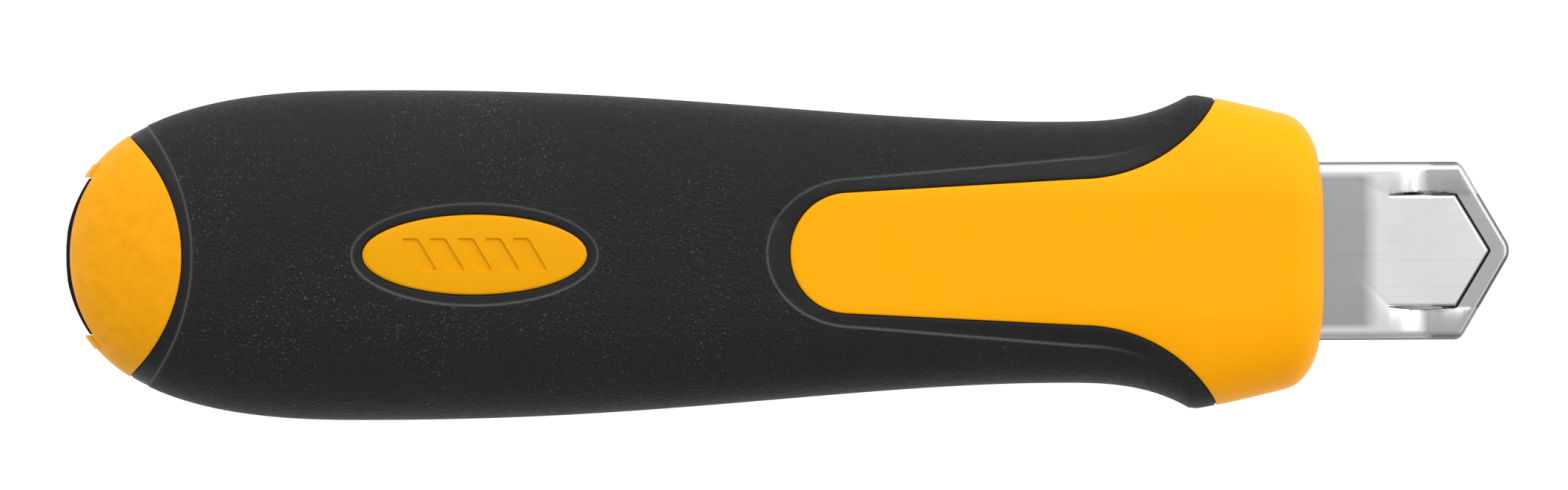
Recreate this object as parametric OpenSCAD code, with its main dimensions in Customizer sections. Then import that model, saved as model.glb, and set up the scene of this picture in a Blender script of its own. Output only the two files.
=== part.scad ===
// Extra-heavy-duty snap-off utility knife with a rubber-covered handle, a steel blade channel
// and a lock wheel. It lies with its plain back up and its slider side down.
// Inside the modules x runs from the tail of the handle to the tip, y across it, and z = 0 is the
// middle of the blade channel; place() then moves everything into the part's own frame.

/* [Handle] */
// Length of the handle, from the tail dome to the nose face
handle_len = 197; // [166:0.1:236.4]
// Greatest width, at the belly of the grip
belly_w = 52; // [44:0.5:63]
// Distance from the tail to the belly
belly_x = 48; // [42:0.5:58]
// Width at the neck, where the forefinger lies
neck_w = 41.2; // [39:0.1:50]
// Width over the finger guard
guard_w = 49.6; // [45:0.1:60]
// Length of the head, from the guard's corner to the nose face
head_len = 20.2; // [18:0.1:24.2]
// Length over which the neck flares out to the guard
flare_len = 21; // [17:0.5:26]
// Width to which the head tapers just behind the nose corners
nose_w = 41.9; // [38:0.1:50]
// Height of the back above the channel's middle, at the belly
belly_h = 15.5; // [13:0.1:19]
// Height of the back above the channel's middle, at the neck and head
head_h = 12.6; // [11:0.1:16]
// Depth of the slider side below the channel's middle
front_h = 11.3; // [9.5:0.1:13.5]
// How far the flat land of the yellow back panel lies under the crown
panel_flat = 0.35; // [0.1:0.05:0.6]

/* [Rubber grip] */
// Thickness of the rubber over the core
rubber_t = 2; // [1.5:0.1:2.4]
// Depth of the smooth border bands in the rubber
band_depth = 0.35; // [0.2:0.05:0.5]
// Length of the back panel, from its round end to the nose
panel_len = 83.3; // [70:0.1:99.9]
// Width of the back panel at its round end
panel_end_w = 19.2; // [16:0.1:23]
// Width of the back panel where its flare begins
panel_neck_w = 23.2; // [20:0.1:27]
// Distance from the nose to where the panel's flare begins
panel_flare_x = 37.9; // [32:0.1:45]
// Radius of the panel's flare
panel_flare_r = 24.7; // [20:0.1:30]
// Width of the smooth border around the panel's round end
panel_band = 3.6; // [2:0.1:4.3]
// Centre of the oval window, from the tail
oval_x = 64.5; // [54:0.5:76]
// Length of the oval window
oval_len = 35.2; // [29:0.1:42]
// Width of the oval window
oval_w = 12.7; // [10:0.1:15]
// Width of the smooth border around the oval
oval_band = 1.6; // [1:0.1:2.4]
// Where the rubber starts on the centre line, from the tail
tail_window = 18.7; // [15:0.1:22]
// Radius of the rubber's edge at the tail
tail_window_r = 25.1; // [21:0.1:30]

/* [Blade] */
// Width of the blade
blade_w = 25; // [20.8:0.1:26]
// Thickness of the blade
blade_t = 0.7; // [0.5:0.05:0.8]
// Overall length of the blade
blade_len = 126; // [105:1:140]
// Number of segments between the tip and the last score line
blade_segments = 7; // [5:1:7]
// Distance between score lines
segment_pitch = 15.2; // [12.7:0.1:16]
// Angle between the score lines and the blade's length
snap_angle = 59; // [50:1:65]
// Radius of the hole that hooks on the carrier's pin
blade_hole_r = 3; // [2.5:0.1:3.5]

/* [Channel] */
// Thickness of the channel's steel sheet
sheet_t = 1; // [0.8:0.05:1.2]
// Height over the channel's outside
channel_h = 6; // [5.8:0.1:6.6]
// Gap between the channel's two lips
lip_gap = 12; // [10:0.5:14]
// Length of channel that stands out of the nose
channel_out = 29.9; // [25:0.1:35]
// Depth of the pressed step around the channel's tip
tip_step = 1; // [0.8:0.05:1]
// Outer bend radius of the channel
bend_r = 1.6; // [1.2:0.1:1.9]

/* [Lock wheel] */
// Diameter of the lock wheel
wheel_d = 25; // [21:0.5:30]
// Height of the lock wheel
wheel_h = 7.4; // [6.5:0.1:9]
// Number of grips around the wheel's rim
wheel_grips = 18; // [12:1:24]
// Radius of the clamp bolt's stud
stud_r = 2.5; // [2:0.1:3]
// Thread pitch of the clamp bolt, which sets how far it moves in a turn
thread_pitch = 0.8; // [0.5:0.1:1]
// How far the wheel turns to free the slider, in degrees
wheel_turn = 270; // [180:10:360]

/* [Cover and screws] */
// Margin between the silhouette and the cover's edge
cover_rim = 5.2; // [4.6:0.1:5.8]
// Width of the slider's slot in the cover
slot_w = 21.2; // [19:0.1:22]
// Positions of the two pairs of cover screws, from the tail
screw_rows = [29, 91];
// Radius of a cover screw's thread
screw_r = 1.1; // [0.9:0.05:1.2]
// Radius of a cover screw's head
screw_head_r = 2; // [1.6:0.1:2.1]

/* [End cap] */
// Width of the end cap between the two tail cheeks
cap_w = 24.6; // [20.5:0.1:25]
// How far the cap's end stands out behind the tail dome
cap_proud = 0.3; // [0.25:0.05:0.4]
// Radius of the cap's end, seen from above
cap_end_r = 21.5; // [18:0.5:25.5]
// How far the yellow tail stays in front of the cap's end
cap_band = 0.65; // [0.5:0.05:0.8]
// Depth of the end cap into the handle
cap_len = 12; // [10:0.5:14]

/* [Hidden] */
$fn = 64;
gap = 0.15;       // between shells and the pieces that seat in them
slide_gap = 0.1;  // between pieces that slide past each other
play = 0.05;      // between faces that bear on each other
eps = 0.01;
far = 40;         // past the handle's surface, for cuts

yellow = "#ffb40a";
black = "#26282a";
steel = "#c9cbcc";
dark_steel = "#8b8e90";
brass = "#c8a048";

// The handle's outline: half widths and heights along x
tail_power = 2.6;     // bluntness of the tail dome
neck_late = 1.19;     // above 1, the grip thins later
corner_len = 5.2;     // the nose corners, along x
corner_depth = 7.5;   // the nose corners, across
head_bulge = 1.2;     // above 1, the head's sides are bowed
cheek_proud = 0.15;   // the cheeks beside the cap
cheek_w = 2.1;
cheek_low = -9;
cheek_high = 4;
tail_band = 1.5;      // the smooth border of the rubber at the tail
wall = 2.6;           // the core's wall under its surface
floor_t = 2.2;        // the floors between the core's hollows
nose_fillet = 4;      // the nose edge, seen from the side
ring_points = 40;
guard_x = handle_len - head_len;
neck_x = guard_x - flare_len;
panel_x = handle_len - panel_len;
flare_x = handle_len - panel_flare_x;

// The channel and what runs in it
blade_side = 0.5;                               // beside the blade, to each wall
channel_w = blade_w + 2 * (sheet_t + blade_side);
channel_top = channel_h / 2;
channel_in = channel_top - sheet_t;
channel_x0 = cap_len + 2 * gap;
tip_x = handle_len + channel_out;
tip_slope = tan(snap_angle);
tip_blunt = 0.6;                                // how far the rounded point falls short of a sharp one
tip_corner_x = tip_x + tip_blunt - channel_w / 2 / tip_slope;
panel_half = 8.8;                               // half the width of the tip's raised tongue
band_wide = (channel_w / 2 - panel_half) / 1.6; // pressed band around the tongue, along x
tongue_x = tip_x - band_wide;                   // point of the raised tongue
tongue_corner_x = tongue_x - panel_half / tip_slope;
slit_len = 10.4;                                // the slits beside the tongue
ramp_len = 6.6;
ramp_x0 = tongue_corner_x - slit_len;           // where the slits and the ramp begin
ramp_x1 = ramp_x0 + ramp_len;                   // where the ramp is fully down
band_in = 0.03;                                 // how far the pressed band lies within the flanks' sheet
corner_r = 2;                                   // the tip's outer corners

// The stack inside the channel, from the back plate down
carrier_t = 1;
carrier_top = channel_in - play;
blade_top = carrier_top - carrier_t - play;
blade_bottom = blade_top - blade_t;
clamp_low = -channel_in + play;
clamp_draw = thread_pitch * wheel_turn / 360;   // how far the wheel moves the clamp
clamp_t = blade_bottom - clamp_low - clamp_draw - gap;
clamp_half = 9;
lips_out = -channel_top;

// Places along x
blade_tip = tip_corner_x - 0.6;
blade_rear = blade_tip - blade_len;
pin_x = blade_rear + 8;                         // the carrier's pin
bolt_x = blade_rear + 9.5;                      // the clamp bolt, and the wheel on it
carrier_x0 = blade_rear - 5;
carrier_x1 = pin_x + 12;
slider_x0 = bolt_x - 27;
slider_x1 = bolt_x + 10;
cover_x0 = cap_len + 2 * gap;
cover_x1 = handle_len - 4.4;
slot_end = cover_x1 - 3.4;
tongue_half = 9;                                // the cover's front tongue, which hooks under the nose
tongue_low = -7;
tongue_reach = 1.8;
travel = slot_end - slider_x1 - gap;            // the slide joint's range

// The stack under the slider
cover_face = -(front_h - 0.3);
slider_face = cover_face - 0.6;
washer_t = 0.5;
washer_r = 6.4;
spring_t = 0.3;
crest_r = 0.35;                                 // the spring fingers' crests, which click in the wheel
groove_depth = 0.9;                             // the wheel's ring groove over the spring
wheel_top = slider_face - washer_t - play;
wheel_face = wheel_top - wheel_h;
wheel_r = wheel_d / 2;
insert_r = stud_r + 1.9;
cap_disc_r = wheel_r - 4.6;
cap_disc_t = 1.2;
cap_disc_in = 0.3;                              // how far the disc lies under the wheel's face
stud_end = wheel_face + cap_disc_in + cap_disc_t + 0.4;
clip_t = 0.6;
clip_room = 1;                                  // free height between the clip and the insert
insert_face = stud_end + 0.1 + clip_t + clip_room;
pin_r = 1.5;                                    // the pins that hold the channel in the core
pin_boss_r = 3.6;                               // the bosses round them, in the core's hollows
pin_places = [cap_len + 33, handle_len - 25];
rivet_r = 1.6;                                  // the carrier pin's shank
screw_sink = 1.8;                               // depth of the screw heads' recesses
screw_head_t = 1.5;
pad_margin = 1.4;                               // the thumb pad's seat, from the slider's sides
pad_seat = 1.2;
pad_proud = 0.6;
pad_x0 = slider_x0 + 1.2;
pad_x1 = bolt_x - wheel_r - 1;

screw_y = channel_w / 2 + 2 * gap + screw_r + 1.25;
lift = -wheel_face;                             // the wheel's face is what the part stands on
centre_x = (tip_x - cap_proud) / 2;

function smooth(t) = t <= 0 ? 0 : t >= 1 ? 1 : t * t * (3 - 2 * t);
function dome(x) = let (u = max(0, (belly_x - x) / belly_x)) pow(max(0, 1 - pow(u, tail_power)), 1 / tail_power);
function corner(x, len) = let (s = min(1, max(0, (x - handle_len + len) / len))) 1 - sqrt(1 - s * s);
function head_half(x) =
    guard_w / 2 - (guard_w - nose_w) / 2 * pow((x - guard_x) / (head_len - corner_len / 2), head_bulge)
    - corner_depth * corner(x, corner_len);
function half_w(x) =
    x < belly_x ? belly_w / 2 * dome(x)
    : x < neck_x ? belly_w / 2 - (belly_w - neck_w) / 2 * smooth(pow((x - belly_x) / (neck_x - belly_x), neck_late))
    : x < guard_x ? neck_w / 2 + (guard_w - neck_w) / 2 * pow((x - neck_x) / flare_len, 3)
    : head_half(x);
function back_z(x) =
    belly_h * dome(x) - (belly_h - head_h) * smooth((x - belly_x) / (panel_x + 8 - belly_x))
    - 0.8 * nose_fillet * corner(x, nose_fillet);
function front_z(x) = front_h * dome(x) - 0.8 * nose_fillet * corner(x, nose_fillet);
function back_power(x) = 2.25 + 0.65 * smooth((x - belly_x) / (neck_x - belly_x));
function front_power(x) = 2.5 + 0.7 * smooth(x / belly_x);
function power(v, n) = sign(v) * pow(abs(v), 2 / n);

// One cross-section of the handle, brought in by inset
function ring(x, inset) =
    let (w = max(0.3, half_w(x) - inset), b = max(0.3, back_z(x) - inset), f = max(0.3, front_z(x) - inset))
    [for (i = [0 : ring_points - 1])
        let (a = 360 * i / ring_points, up = sin(a) >= 0, n = up ? back_power(x) : front_power(x))
        [x, w * power(cos(a), n), (up ? b : f) * power(sin(a), n)]];

// The cross-sections' places: close together on the tail dome, at the guard and on the nose
tail_steps = [for (a = [0 : 8.6 : 86]) belly_x * (1 - pow(cos(a), 2 / tail_power))];
grip_steps = [for (i = [0 : 12]) belly_x + (neck_x - belly_x) * i / 12];
flare_steps = [for (i = [1 : 5]) neck_x + (flare_len - eps) * sqrt(i / 5)];
head_steps = concat([for (i = [0 : 3]) guard_x + (head_len - corner_len) * i / 3],
                    [for (a = [20 : 17.4 : 90]) handle_len - corner_len * (1 - sin(a))]);
stations = concat(tail_steps, grip_steps, flare_steps, head_steps);

// A closed solid through a list of rings with the same number of points
module loft(rings) {
    n = len(rings[0]);
    m = len(rings);
    sides = [for (j = [0 : m - 2], i = [0 : n - 1])
        [j * n + i, (j + 1) * n + i, (j + 1) * n + (i + 1) % n, j * n + (i + 1) % n]];
    triangles = [for (q = sides, k = [0, 1]) k == 0 ? [q[0], q[1], q[2]] : [q[0], q[2], q[3]]];
    polyhedron(concat([for (r = rings) each r]),
               concat(triangles, [[for (i = [0 : n - 1]) i]], [[for (i = [n - 1 : -1 : 0]) (m - 1) * n + i]]));
}

// The handle's whole outer form, brought in by inset
module form(inset = 0) loft([for (x = stations) if (inset == 0 || x > inset) ring(x, inset)]);

// Children evaluated together as a single mesh
module one_mesh() resize([0, 0, 0]) children();

// From the working axes to the part's frame
module place() translate([-centre_x, 0, lift]) children();

// A prism over a plan outline, from z0 to z1
module prism(z0, z1) translate([0, 0, z0]) linear_extrude(z1 - z0) children();
module mirror_y() for (side = [0, 1]) mirror([0, side, 0]) children();
module box(x0, x1, half, z0, z1) translate([x0, -half, z0]) cube([x1 - x0, 2 * half, z1 - z0]);

// Plan outline of the back panel, grown by border at its round end
module panel_plan(border = 0) {
    round_len = 9 + 1.3 * border;
    end_half = panel_end_w / 2 + border * 0.56;
    neck_half = panel_neck_w / 2 + border * 0.86;
    r = panel_flare_r + border * 1.28;
    side = concat(
        [for (a = [0 : 7.5 : 90]) [panel_x - border + round_len * (1 - cos(a)), end_half * sin(a)]],
        [for (a = [0 : 7 : 63]) [flare_x + r * sin(a), neck_half + r * (1 - cos(a))]],
        [[handle_len + 5, belly_w]]);
    polygon(concat(side, [for (i = [len(side) - 1 : -1 : 1]) [side[i][0], -side[i][1]]]));
}

// Plan outline of everything behind the rubber's edge at the tail
module tail_plan(border = 0) {
    r = tail_window_r + 4 * border;
    translate([tail_window + border - r, 0]) intersection() {
        circle(r, $fn = 120);
        translate([0, -r]) square([r, 2 * r]);
    }
    translate([-belly_x, -belly_w]) square([belly_x + tail_window + border - r + eps, 2 * belly_w]);
}

module oval_plan(border = 0) translate([oval_x, 0])
    polygon([for (a = [0 : 7.5 : 352.5]) [(oval_len / 2 + border) * cos(a), (oval_w / 2 + border) * sin(a)]]);

// Plan outline of the front cover, grown by clear
module cover_plan(clear = 0) {
    n = 21;
    xs = [for (i = [0 : n]) cover_x0 - clear + (cover_x1 - cover_x0 + 2 * clear) * i / n];
    half = [for (x = xs) half_w(x) - cover_rim + clear];
    offset(r = 3, $fn = 32) offset(delta = -3)
        polygon(concat([for (i = [0 : len(xs) - 1]) [xs[i], half[i]]],
                       [for (i = [len(xs) - 1 : -1 : 0]) [xs[i], -half[i]]]));
}

// Where the hard core comes through the rubber
module windows() {
    prism(-far, far) panel_plan();
    prism(-far, far) tail_plan();
    prism(0, far) oval_plan();
}

module rubber_grip() color(black) one_mesh() difference() {
    union() {
        difference() {
            form();
            prism(0, far) difference() { panel_plan(panel_band); panel_plan(-1); }
            prism(0, far) difference() { oval_plan(oval_band); oval_plan(-1); }
            prism(-far, far) difference() { tail_plan(tail_band); tail_plan(-1); }
        }
        form(band_depth);
    }
    form(rubber_t);
    windows();
    prism(-far, -channel_top) cover_plan(gap);
}

// Hollows that keep the core's walls even, open towards the channel
module core_pockets() difference() {
    x0 = channel_x0 + 12;
    n = 5;
    pitch = (handle_len - 22 - x0) / n;
    for (i = [0 : n - 1]) {
        roof = min(back_z(x0 + i * pitch), back_z(x0 + (i + 1) * pitch)) - rubber_t - wall;
        box(x0 + i * pitch, x0 + (i + 1) * pitch - floor_t, channel_w / 2 - 3, 0, roof);
    }
    for (x = pin_places) translate([x, 0, -1]) cylinder(r = pin_boss_r, h = far, $fn = 32);
}

module screw_places() for (x = screw_rows) mirror_y() translate([x, screw_y, 0]) children();

module handle_core() color(yellow) one_mesh() difference() {
    union() {
        form(rubber_t);
        intersection() {
            form();
            windows();
        }
        // cheeks on both sides of the end cap
        intersection() {
            translate([-cheek_proud, 0, 0]) form();
            mirror_y() translate([-cap_proud, cap_w / 2 + gap, cheek_low])
                cube([cap_len, cheek_w, cheek_high - cheek_low]);
        }
    }
    // flat land on the back panel
    prism(head_h - panel_flat, far) translate([panel_x - 2, -belly_w]) square([panel_len + 4, 2 * belly_w]);
    box(channel_x0 - 2 * gap, handle_len + 1, channel_w / 2 + gap, -channel_top - gap, channel_top + gap);
    prism(-far, -channel_top) cover_plan(gap);
    box(-5, cover_x0 + 4, cap_w / 2 + gap, -far, channel_top + 2 * gap);
    // room for the cap's rounded end
    difference() {
        box(-5, 6, cap_w / 2 + gap, -far, far);
        translate([cap_band - cap_proud + cap_end_r + 1, 0, -far - 1])
            cylinder(r = cap_end_r + 1, h = 2 * far + 2, $fn = 120);
    }
    // pocket for the cover's front tongue
    box(cover_x1 - 1, cover_x1 + tongue_reach + gap + play, tongue_half + gap, tongue_low - gap, -channel_top);
    core_pockets();
    screw_places() translate([0, 0, -channel_top - 1]) cylinder(r = screw_r + 0.02, h = 10, $fn = 24);
    for (x = pin_places) translate([x, 0, 0]) cylinder(r = pin_r + 0.02, h = channel_top + 5, $fn = 32);
}

module front_cover() color(yellow) difference() {
    one_mesh() union() {
        difference() {
            intersection() {
                form();
                prism(cover_face, -channel_top - play) cover_plan();
            }
            box(0, slot_end, slot_w / 2, -far, 0);
        }
        // tongue that hooks under the nose
        box(cover_x1 - 2, cover_x1 + tongue_reach, tongue_half, tongue_low, -channel_top - play);
    }
    screw_places() {
        translate([0, 0, -far]) cylinder(r = screw_r + gap, h = far);
        translate([0, 0, -far]) cylinder(r = screw_head_r + gap, h = far + cover_face + screw_sink);
    }
}

module cover_screws() color(dark_steel) screw_places() difference() {
    union() {
        translate([0, 0, cover_face + screw_sink - screw_head_t]) cylinder(r = screw_head_r, h = screw_head_t);
        translate([0, 0, cover_face + 1]) cylinder(r = screw_r, h = -cover_face + 4);
    }
    // cross recess
    for (a = [0, 90]) rotate(a) translate([-1.1, -0.25, cover_face]) cube([2.2, 0.5, 1.1]);
}

// Half of the channel's section, brought down by drop at the back and up by rise at the lips
function arc_points(cy, cz, r, a0, a1, n) =
    [for (i = [0 : n]) let (a = a0 + (a1 - a0) * i / n) [cy + r * cos(a), cz + r * sin(a)]];
function half_section(inner, drop, rise) =
    let (w = channel_w / 2, top = channel_top - drop, low = -channel_top + rise,
         r = min(bend_r, (top - low) / 2 - 0.05), ri = r - sheet_t)
    concat([[inner, top]], arc_points(w - r, top - r, r, 90, 0, 5), arc_points(w - r, low + r, r, 0, -90, 5),
           [[lip_gap / 2, low], [lip_gap / 2, low + sheet_t]],
           arc_points(w - r, low + r, ri, -90, 0, 3), arc_points(w - r, top - r, ri, 0, 90, 3),
           [[inner, top - sheet_t]]);
function whole_section() =
    let (h = half_section(0, 0, 0), last = len(h) - 2)
    concat([for (i = [1 : last]) h[i]], [for (i = [last : -1 : 1]) [-h[i][0], h[i][1]]]);
function along(x, section) = [for (i = [len(section) - 1 : -1 : 0]) [x, section[i][0], section[i][1]]];
lip_rise = channel_in + blade_bottom - slide_gap;
slit = 0.25;
tip_sections = [for (i = [0 : 10]) let (t = i / 10)
    [ramp_x0 + (ramp_x1 - ramp_x0) * t, tip_step * smooth(t), lip_rise * smooth(1.4 * t - 0.4)]];

module tip_plan() {
    hull() {
        translate([tip_x - 3, 0]) circle(3, $fn = 48);
        mirror_y() translate([tip_corner_x - 1.1, channel_w / 2 + 0.07 - corner_r]) circle(corner_r, $fn = 48);
    }
    translate([0, -channel_w]) square([tip_corner_x - 1.1, 2 * channel_w]);
}

module tongue_plan(in = 0) polygon([
    [ramp_x0 - 3, -panel_half], [tongue_corner_x - in / 2, -panel_half], [tongue_x - 1.15 * in, 0],
    [tongue_corner_x - in / 2, panel_half], [ramp_x0 - 3, panel_half]]);

module blade_channel() color(steel) one_mesh() intersection() {
    union() {
        loft([along(channel_x0, whole_section()), along(ramp_x0, whole_section())]);
        mirror_y() loft(concat([for (s = tip_sections) along(s[0], half_section(panel_half + slit, s[1], s[2]))],
                               [along(tip_x + 1, half_section(panel_half + slit, tip_step, lip_rise))]));
        prism(channel_in, channel_top) tongue_plan();
        // the pressed band in front of the tongue
        prism(channel_in - tip_step + band_in, channel_top - tip_step - band_in) difference() {
            translate([ramp_x1 + 1.1, -panel_half - 0.7]) square([tip_x - ramp_x1, 2 * (panel_half + 0.7)]);
            tongue_plan(sheet_t);
            translate([ramp_x1 - 3, -panel_half - slit - 0.1])
                square([tongue_corner_x - ramp_x1 + 1.6, 2 * panel_half + 2 * slit + 0.2]);
        }
    }
    difference() {
        prism(-20, 20) tip_plan();
        for (x = pin_places) translate([x, 0, 0]) cylinder(r = pin_r + 0.02, h = channel_top + 5, $fn = 32);
    }
}

module channel_pins() color(dark_steel) for (x = pin_places)
    translate([x, 0, channel_in + play]) cylinder(r = pin_r, h = sheet_t + 4.5);

module end_cap() color(black) one_mesh() difference() {
    intersection() {
        translate([-cap_proud, 0, 0]) form();
        box(-5, cap_len, cap_w / 2, cover_face, channel_top);
        translate([cap_end_r - cap_proud, 0, -far]) cylinder(r = cap_end_r, h = 2 * far, $fn = 120);
    }
    // slot that grips a segment while it is snapped off
    box(-5, 7, 9.5, -4.2, -2.8);
    // hollow behind the slot's wall
    box(8.6, cap_len + 1, cap_w / 2 - 1.8, cover_face + 1.8, channel_top - 1.6);
}

module slider_body() color(black) difference() {
    union() {
        box(slider_x0, slider_x1, slot_w / 2 - slide_gap, slider_face, lips_out - play);
        // neck that runs between the lips
        box(carrier_x0 - 2, slider_x1 - 1, lip_gap / 2 - slide_gap, lips_out - 1, -channel_in - play);
    }
    // slot for the carrier's tab
    box(carrier_x0 - slide_gap, carrier_x0 + carrier_t + slide_gap, lip_gap / 2 - 0.9, lips_out - 4.2, 1);
    translate([bolt_x, 0, -far]) cylinder(r = stud_r + play, h = far);
    // seat of the thumb pad
    box(pad_x0, pad_x1, slot_w / 2 - pad_margin, slider_face - 1, slider_face + pad_seat);
    // hollow under the pad
    box(slider_x0 + 2, carrier_x0 - 4, slot_w / 2 - 2.2, slider_face + 3.2, lips_out + 1);
}

module thumb_pad() color(black) {
    x0 = pad_x0 + play;
    x1 = pad_x1 - play;
    ribs = 4;
    rib_r = 0.75;
    box(x0, x1, slot_w / 2 - pad_margin - play, slider_face - pad_proud, slider_face + pad_seat);
    for (i = [0 : ribs - 1])
        translate([x0 + (x1 - x0) * (i + 0.5) / ribs, 0, slider_face - pad_proud]) rotate([90, 0, 0])
            cylinder(r = rib_r, h = slot_w - 5, center = true, $fn = 32);
}

module carrier_plate() color(dark_steel) difference() {
    union() {
        box(carrier_x0, carrier_x1, blade_w / 2 - slide_gap, blade_top + play, carrier_top);
        box(carrier_x0, carrier_x0 + carrier_t, lip_gap / 2 - 1, lips_out - 4, carrier_top);
    }
    translate([pin_x, 0, 0]) cylinder(r = rivet_r, h = 5);
}

module blade_pin() color(dark_steel) translate([pin_x, 0, 0]) {
    translate([0, 0, blade_bottom]) cylinder(r = blade_hole_r - 0.1, h = blade_t + play);
    translate([0, 0, blade_top]) cylinder(r = rivet_r - eps, h = carrier_top - blade_top);
}

// The blade in plan: straight back and edge, slanted at the tip, square at the rear
module blade_plan() polygon([
    [blade_rear, blade_w / 2], [blade_rear, -blade_w / 2], [blade_tip, -blade_w / 2],
    [blade_tip - blade_w / tip_slope, blade_w / 2]]);

module blade() color(steel) difference() {
    intersection() {
        prism(blade_bottom, blade_top) blade_plan();
        // section across the blade, ground to an edge on both faces
        edge = 2.6;
        rotate([90, 0, 90]) linear_extrude(tip_x) polygon([
            [blade_w / 2, blade_bottom], [blade_w / 2, blade_top], [edge - blade_w / 2, blade_top],
            [-blade_w / 2, (blade_top + blade_bottom) / 2 + 0.02], [-blade_w / 2, (blade_top + blade_bottom) / 2 - 0.02],
            [edge - blade_w / 2, blade_bottom]]);
    }
    translate([pin_x, 0, blade_bottom - 1]) cylinder(r = blade_hole_r, h = blade_t + 2);
    // score lines between the segments
    for (i = [1 : blade_segments - 1])
        translate([blade_tip - i * segment_pitch, -blade_w / 2, blade_bottom])
            rotate(180 - snap_angle) translate([-1, -0.15, -0.2]) cube([blade_w / sin(snap_angle) + 2, 0.3, 0.4]);
}

module clamp_plate() color(dark_steel) difference() {
    box(bolt_x - clamp_half, bolt_x + clamp_half, blade_w / 2 - slide_gap, clamp_low, clamp_low + clamp_t);
    translate([bolt_x, 0, clamp_low - 1]) cylinder(r = stud_r + eps, h = clamp_t + 2);
}

module clamp_stud() color(steel)
    translate([bolt_x, 0, stud_end]) cylinder(r = stud_r, h = clamp_low + clamp_t - stud_end);

// Retaining clip on the stud's end, which keeps the wheel on
module stud_clip() color(dark_steel) translate([bolt_x, 0, stud_end + 0.1]) difference() {
    cylinder(r = insert_r - 0.6, h = clip_t);
    translate([0, 0, -1]) cylinder(r = stud_r + eps, h = clip_t + 2);
    translate([0, -1.2, -1]) cube([2 * insert_r, 2.4, clip_t + 2]);
}

module ratchet_spring() color(steel) translate([bolt_x, 0, 0]) {
    difference() {
        translate([0, 0, slider_face - spring_t]) cylinder(r = slot_w / 2 - 0.8, h = spring_t - play);
        translate([0, 0, slider_face - 1]) cylinder(r = 7, h = 2);
    }
    // the two fingers' crests
    mirror_y() translate([0, slot_w / 2 - 2.2, slider_face - spring_t - gap]) rotate([0, 90, 0])
        cylinder(r = crest_r, h = 2, center = true, $fn = 24);
}

module thrust_washer() color(steel) translate([bolt_x, 0, slider_face - washer_t]) difference() {
    cylinder(r = washer_r, h = washer_t - 2 * eps);
    translate([0, 0, -1]) cylinder(r = stud_r + 0.2, h = 3);
}

module lock_wheel() color(black) translate([bolt_x, 0, 0]) difference() {
    translate([0, 0, wheel_face]) cylinder(r = wheel_r, h = wheel_h);
    // grips around the rim
    for (i = [0 : wheel_grips - 1]) rotate(360 * i / wheel_grips)
        translate([wheel_r + 0.55, 0, wheel_face - 1]) cylinder(r = 1.25, h = wheel_h + 2, $fn = 32);
    // seat of the cap disc, and the bore of the brass insert
    translate([0, 0, wheel_face - 1]) cylinder(r = cap_disc_r + play, h = 1 + cap_disc_in + cap_disc_t + play);
    translate([0, 0, wheel_face - 1]) cylinder(r = insert_r, h = wheel_h + 2);
    // ring groove over the ratchet spring, with the notches that its fingers click in
    translate([0, 0, wheel_top - groove_depth]) difference() {
        cylinder(r = slot_w / 2 - 0.2, h = 2);
        translate([0, 0, -1]) cylinder(r = washer_r + 0.2, h = 4);
    }
}

module wheel_insert() color(brass) translate([bolt_x, 0, 0]) difference() {
    translate([0, 0, insert_face]) cylinder(r = insert_r - eps, h = wheel_top - insert_face);
    translate([0, 0, wheel_face]) cylinder(r = stud_r + play, h = 20);
}

module wheel_cap() color(yellow)
    translate([bolt_x, 0, wheel_face + cap_disc_in]) cylinder(r = cap_disc_r, h = cap_disc_t);

place() handle_core();
place() rubber_grip();
place() front_cover();
place() cover_screws();
place() blade_channel();
place() channel_pins();
place() end_cap();
place() slider_body();
place() thumb_pad();
place() carrier_plate();
place() blade_pin();
place() blade();
place() clamp_plate();
place() clamp_stud();
place() ratchet_spring();
place() thrust_washer();
place() lock_wheel();
place() wheel_insert();
place() stud_clip();
place() wheel_cap();
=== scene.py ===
"""The looks of the utility knife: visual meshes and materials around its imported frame."""
import contextlib
import math

import bmesh
import bpy
import numpy as np
from mathutils import Euler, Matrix, Vector, geometry, kdtree


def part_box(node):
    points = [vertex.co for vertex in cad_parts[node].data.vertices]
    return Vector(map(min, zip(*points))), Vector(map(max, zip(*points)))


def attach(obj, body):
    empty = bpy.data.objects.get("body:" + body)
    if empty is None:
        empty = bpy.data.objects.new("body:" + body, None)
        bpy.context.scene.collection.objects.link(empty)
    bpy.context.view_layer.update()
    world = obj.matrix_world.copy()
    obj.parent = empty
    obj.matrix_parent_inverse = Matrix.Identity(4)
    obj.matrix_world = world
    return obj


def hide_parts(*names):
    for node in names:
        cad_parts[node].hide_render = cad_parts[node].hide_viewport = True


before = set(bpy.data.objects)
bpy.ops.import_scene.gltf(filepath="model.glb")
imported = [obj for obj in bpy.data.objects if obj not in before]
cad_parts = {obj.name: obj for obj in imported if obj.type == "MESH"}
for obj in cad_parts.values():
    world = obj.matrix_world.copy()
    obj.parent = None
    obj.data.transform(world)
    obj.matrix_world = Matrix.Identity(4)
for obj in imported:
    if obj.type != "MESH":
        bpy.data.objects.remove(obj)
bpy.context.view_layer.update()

# --- the shape's own sizes, in millimetres
# The working axes are the design's: x runs from the tail, y across and z = 0 is the channel's middle.
MM = 0.001
HANDLE_LEN, HEAD_LEN, FLARE_LEN = 197.0, 20.2, 21.0
BELLY_W, BELLY_X, NECK_W, GUARD_W, NOSE_W = 52.0, 48.0, 41.2, 49.6, 41.9
BELLY_H, HEAD_H, FRONT_H = 15.5, 12.6, 11.3
TAIL_POWER, NECK_LATE, HEAD_BULGE = 2.6, 1.19, 1.2
CORNER_LEN, CORNER_DEPTH, NOSE_FILLET = 5.2, 7.5, 4.0
CHAMFER_LEN, CHAMFER_SLOPE = 3.5, 0.2
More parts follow.
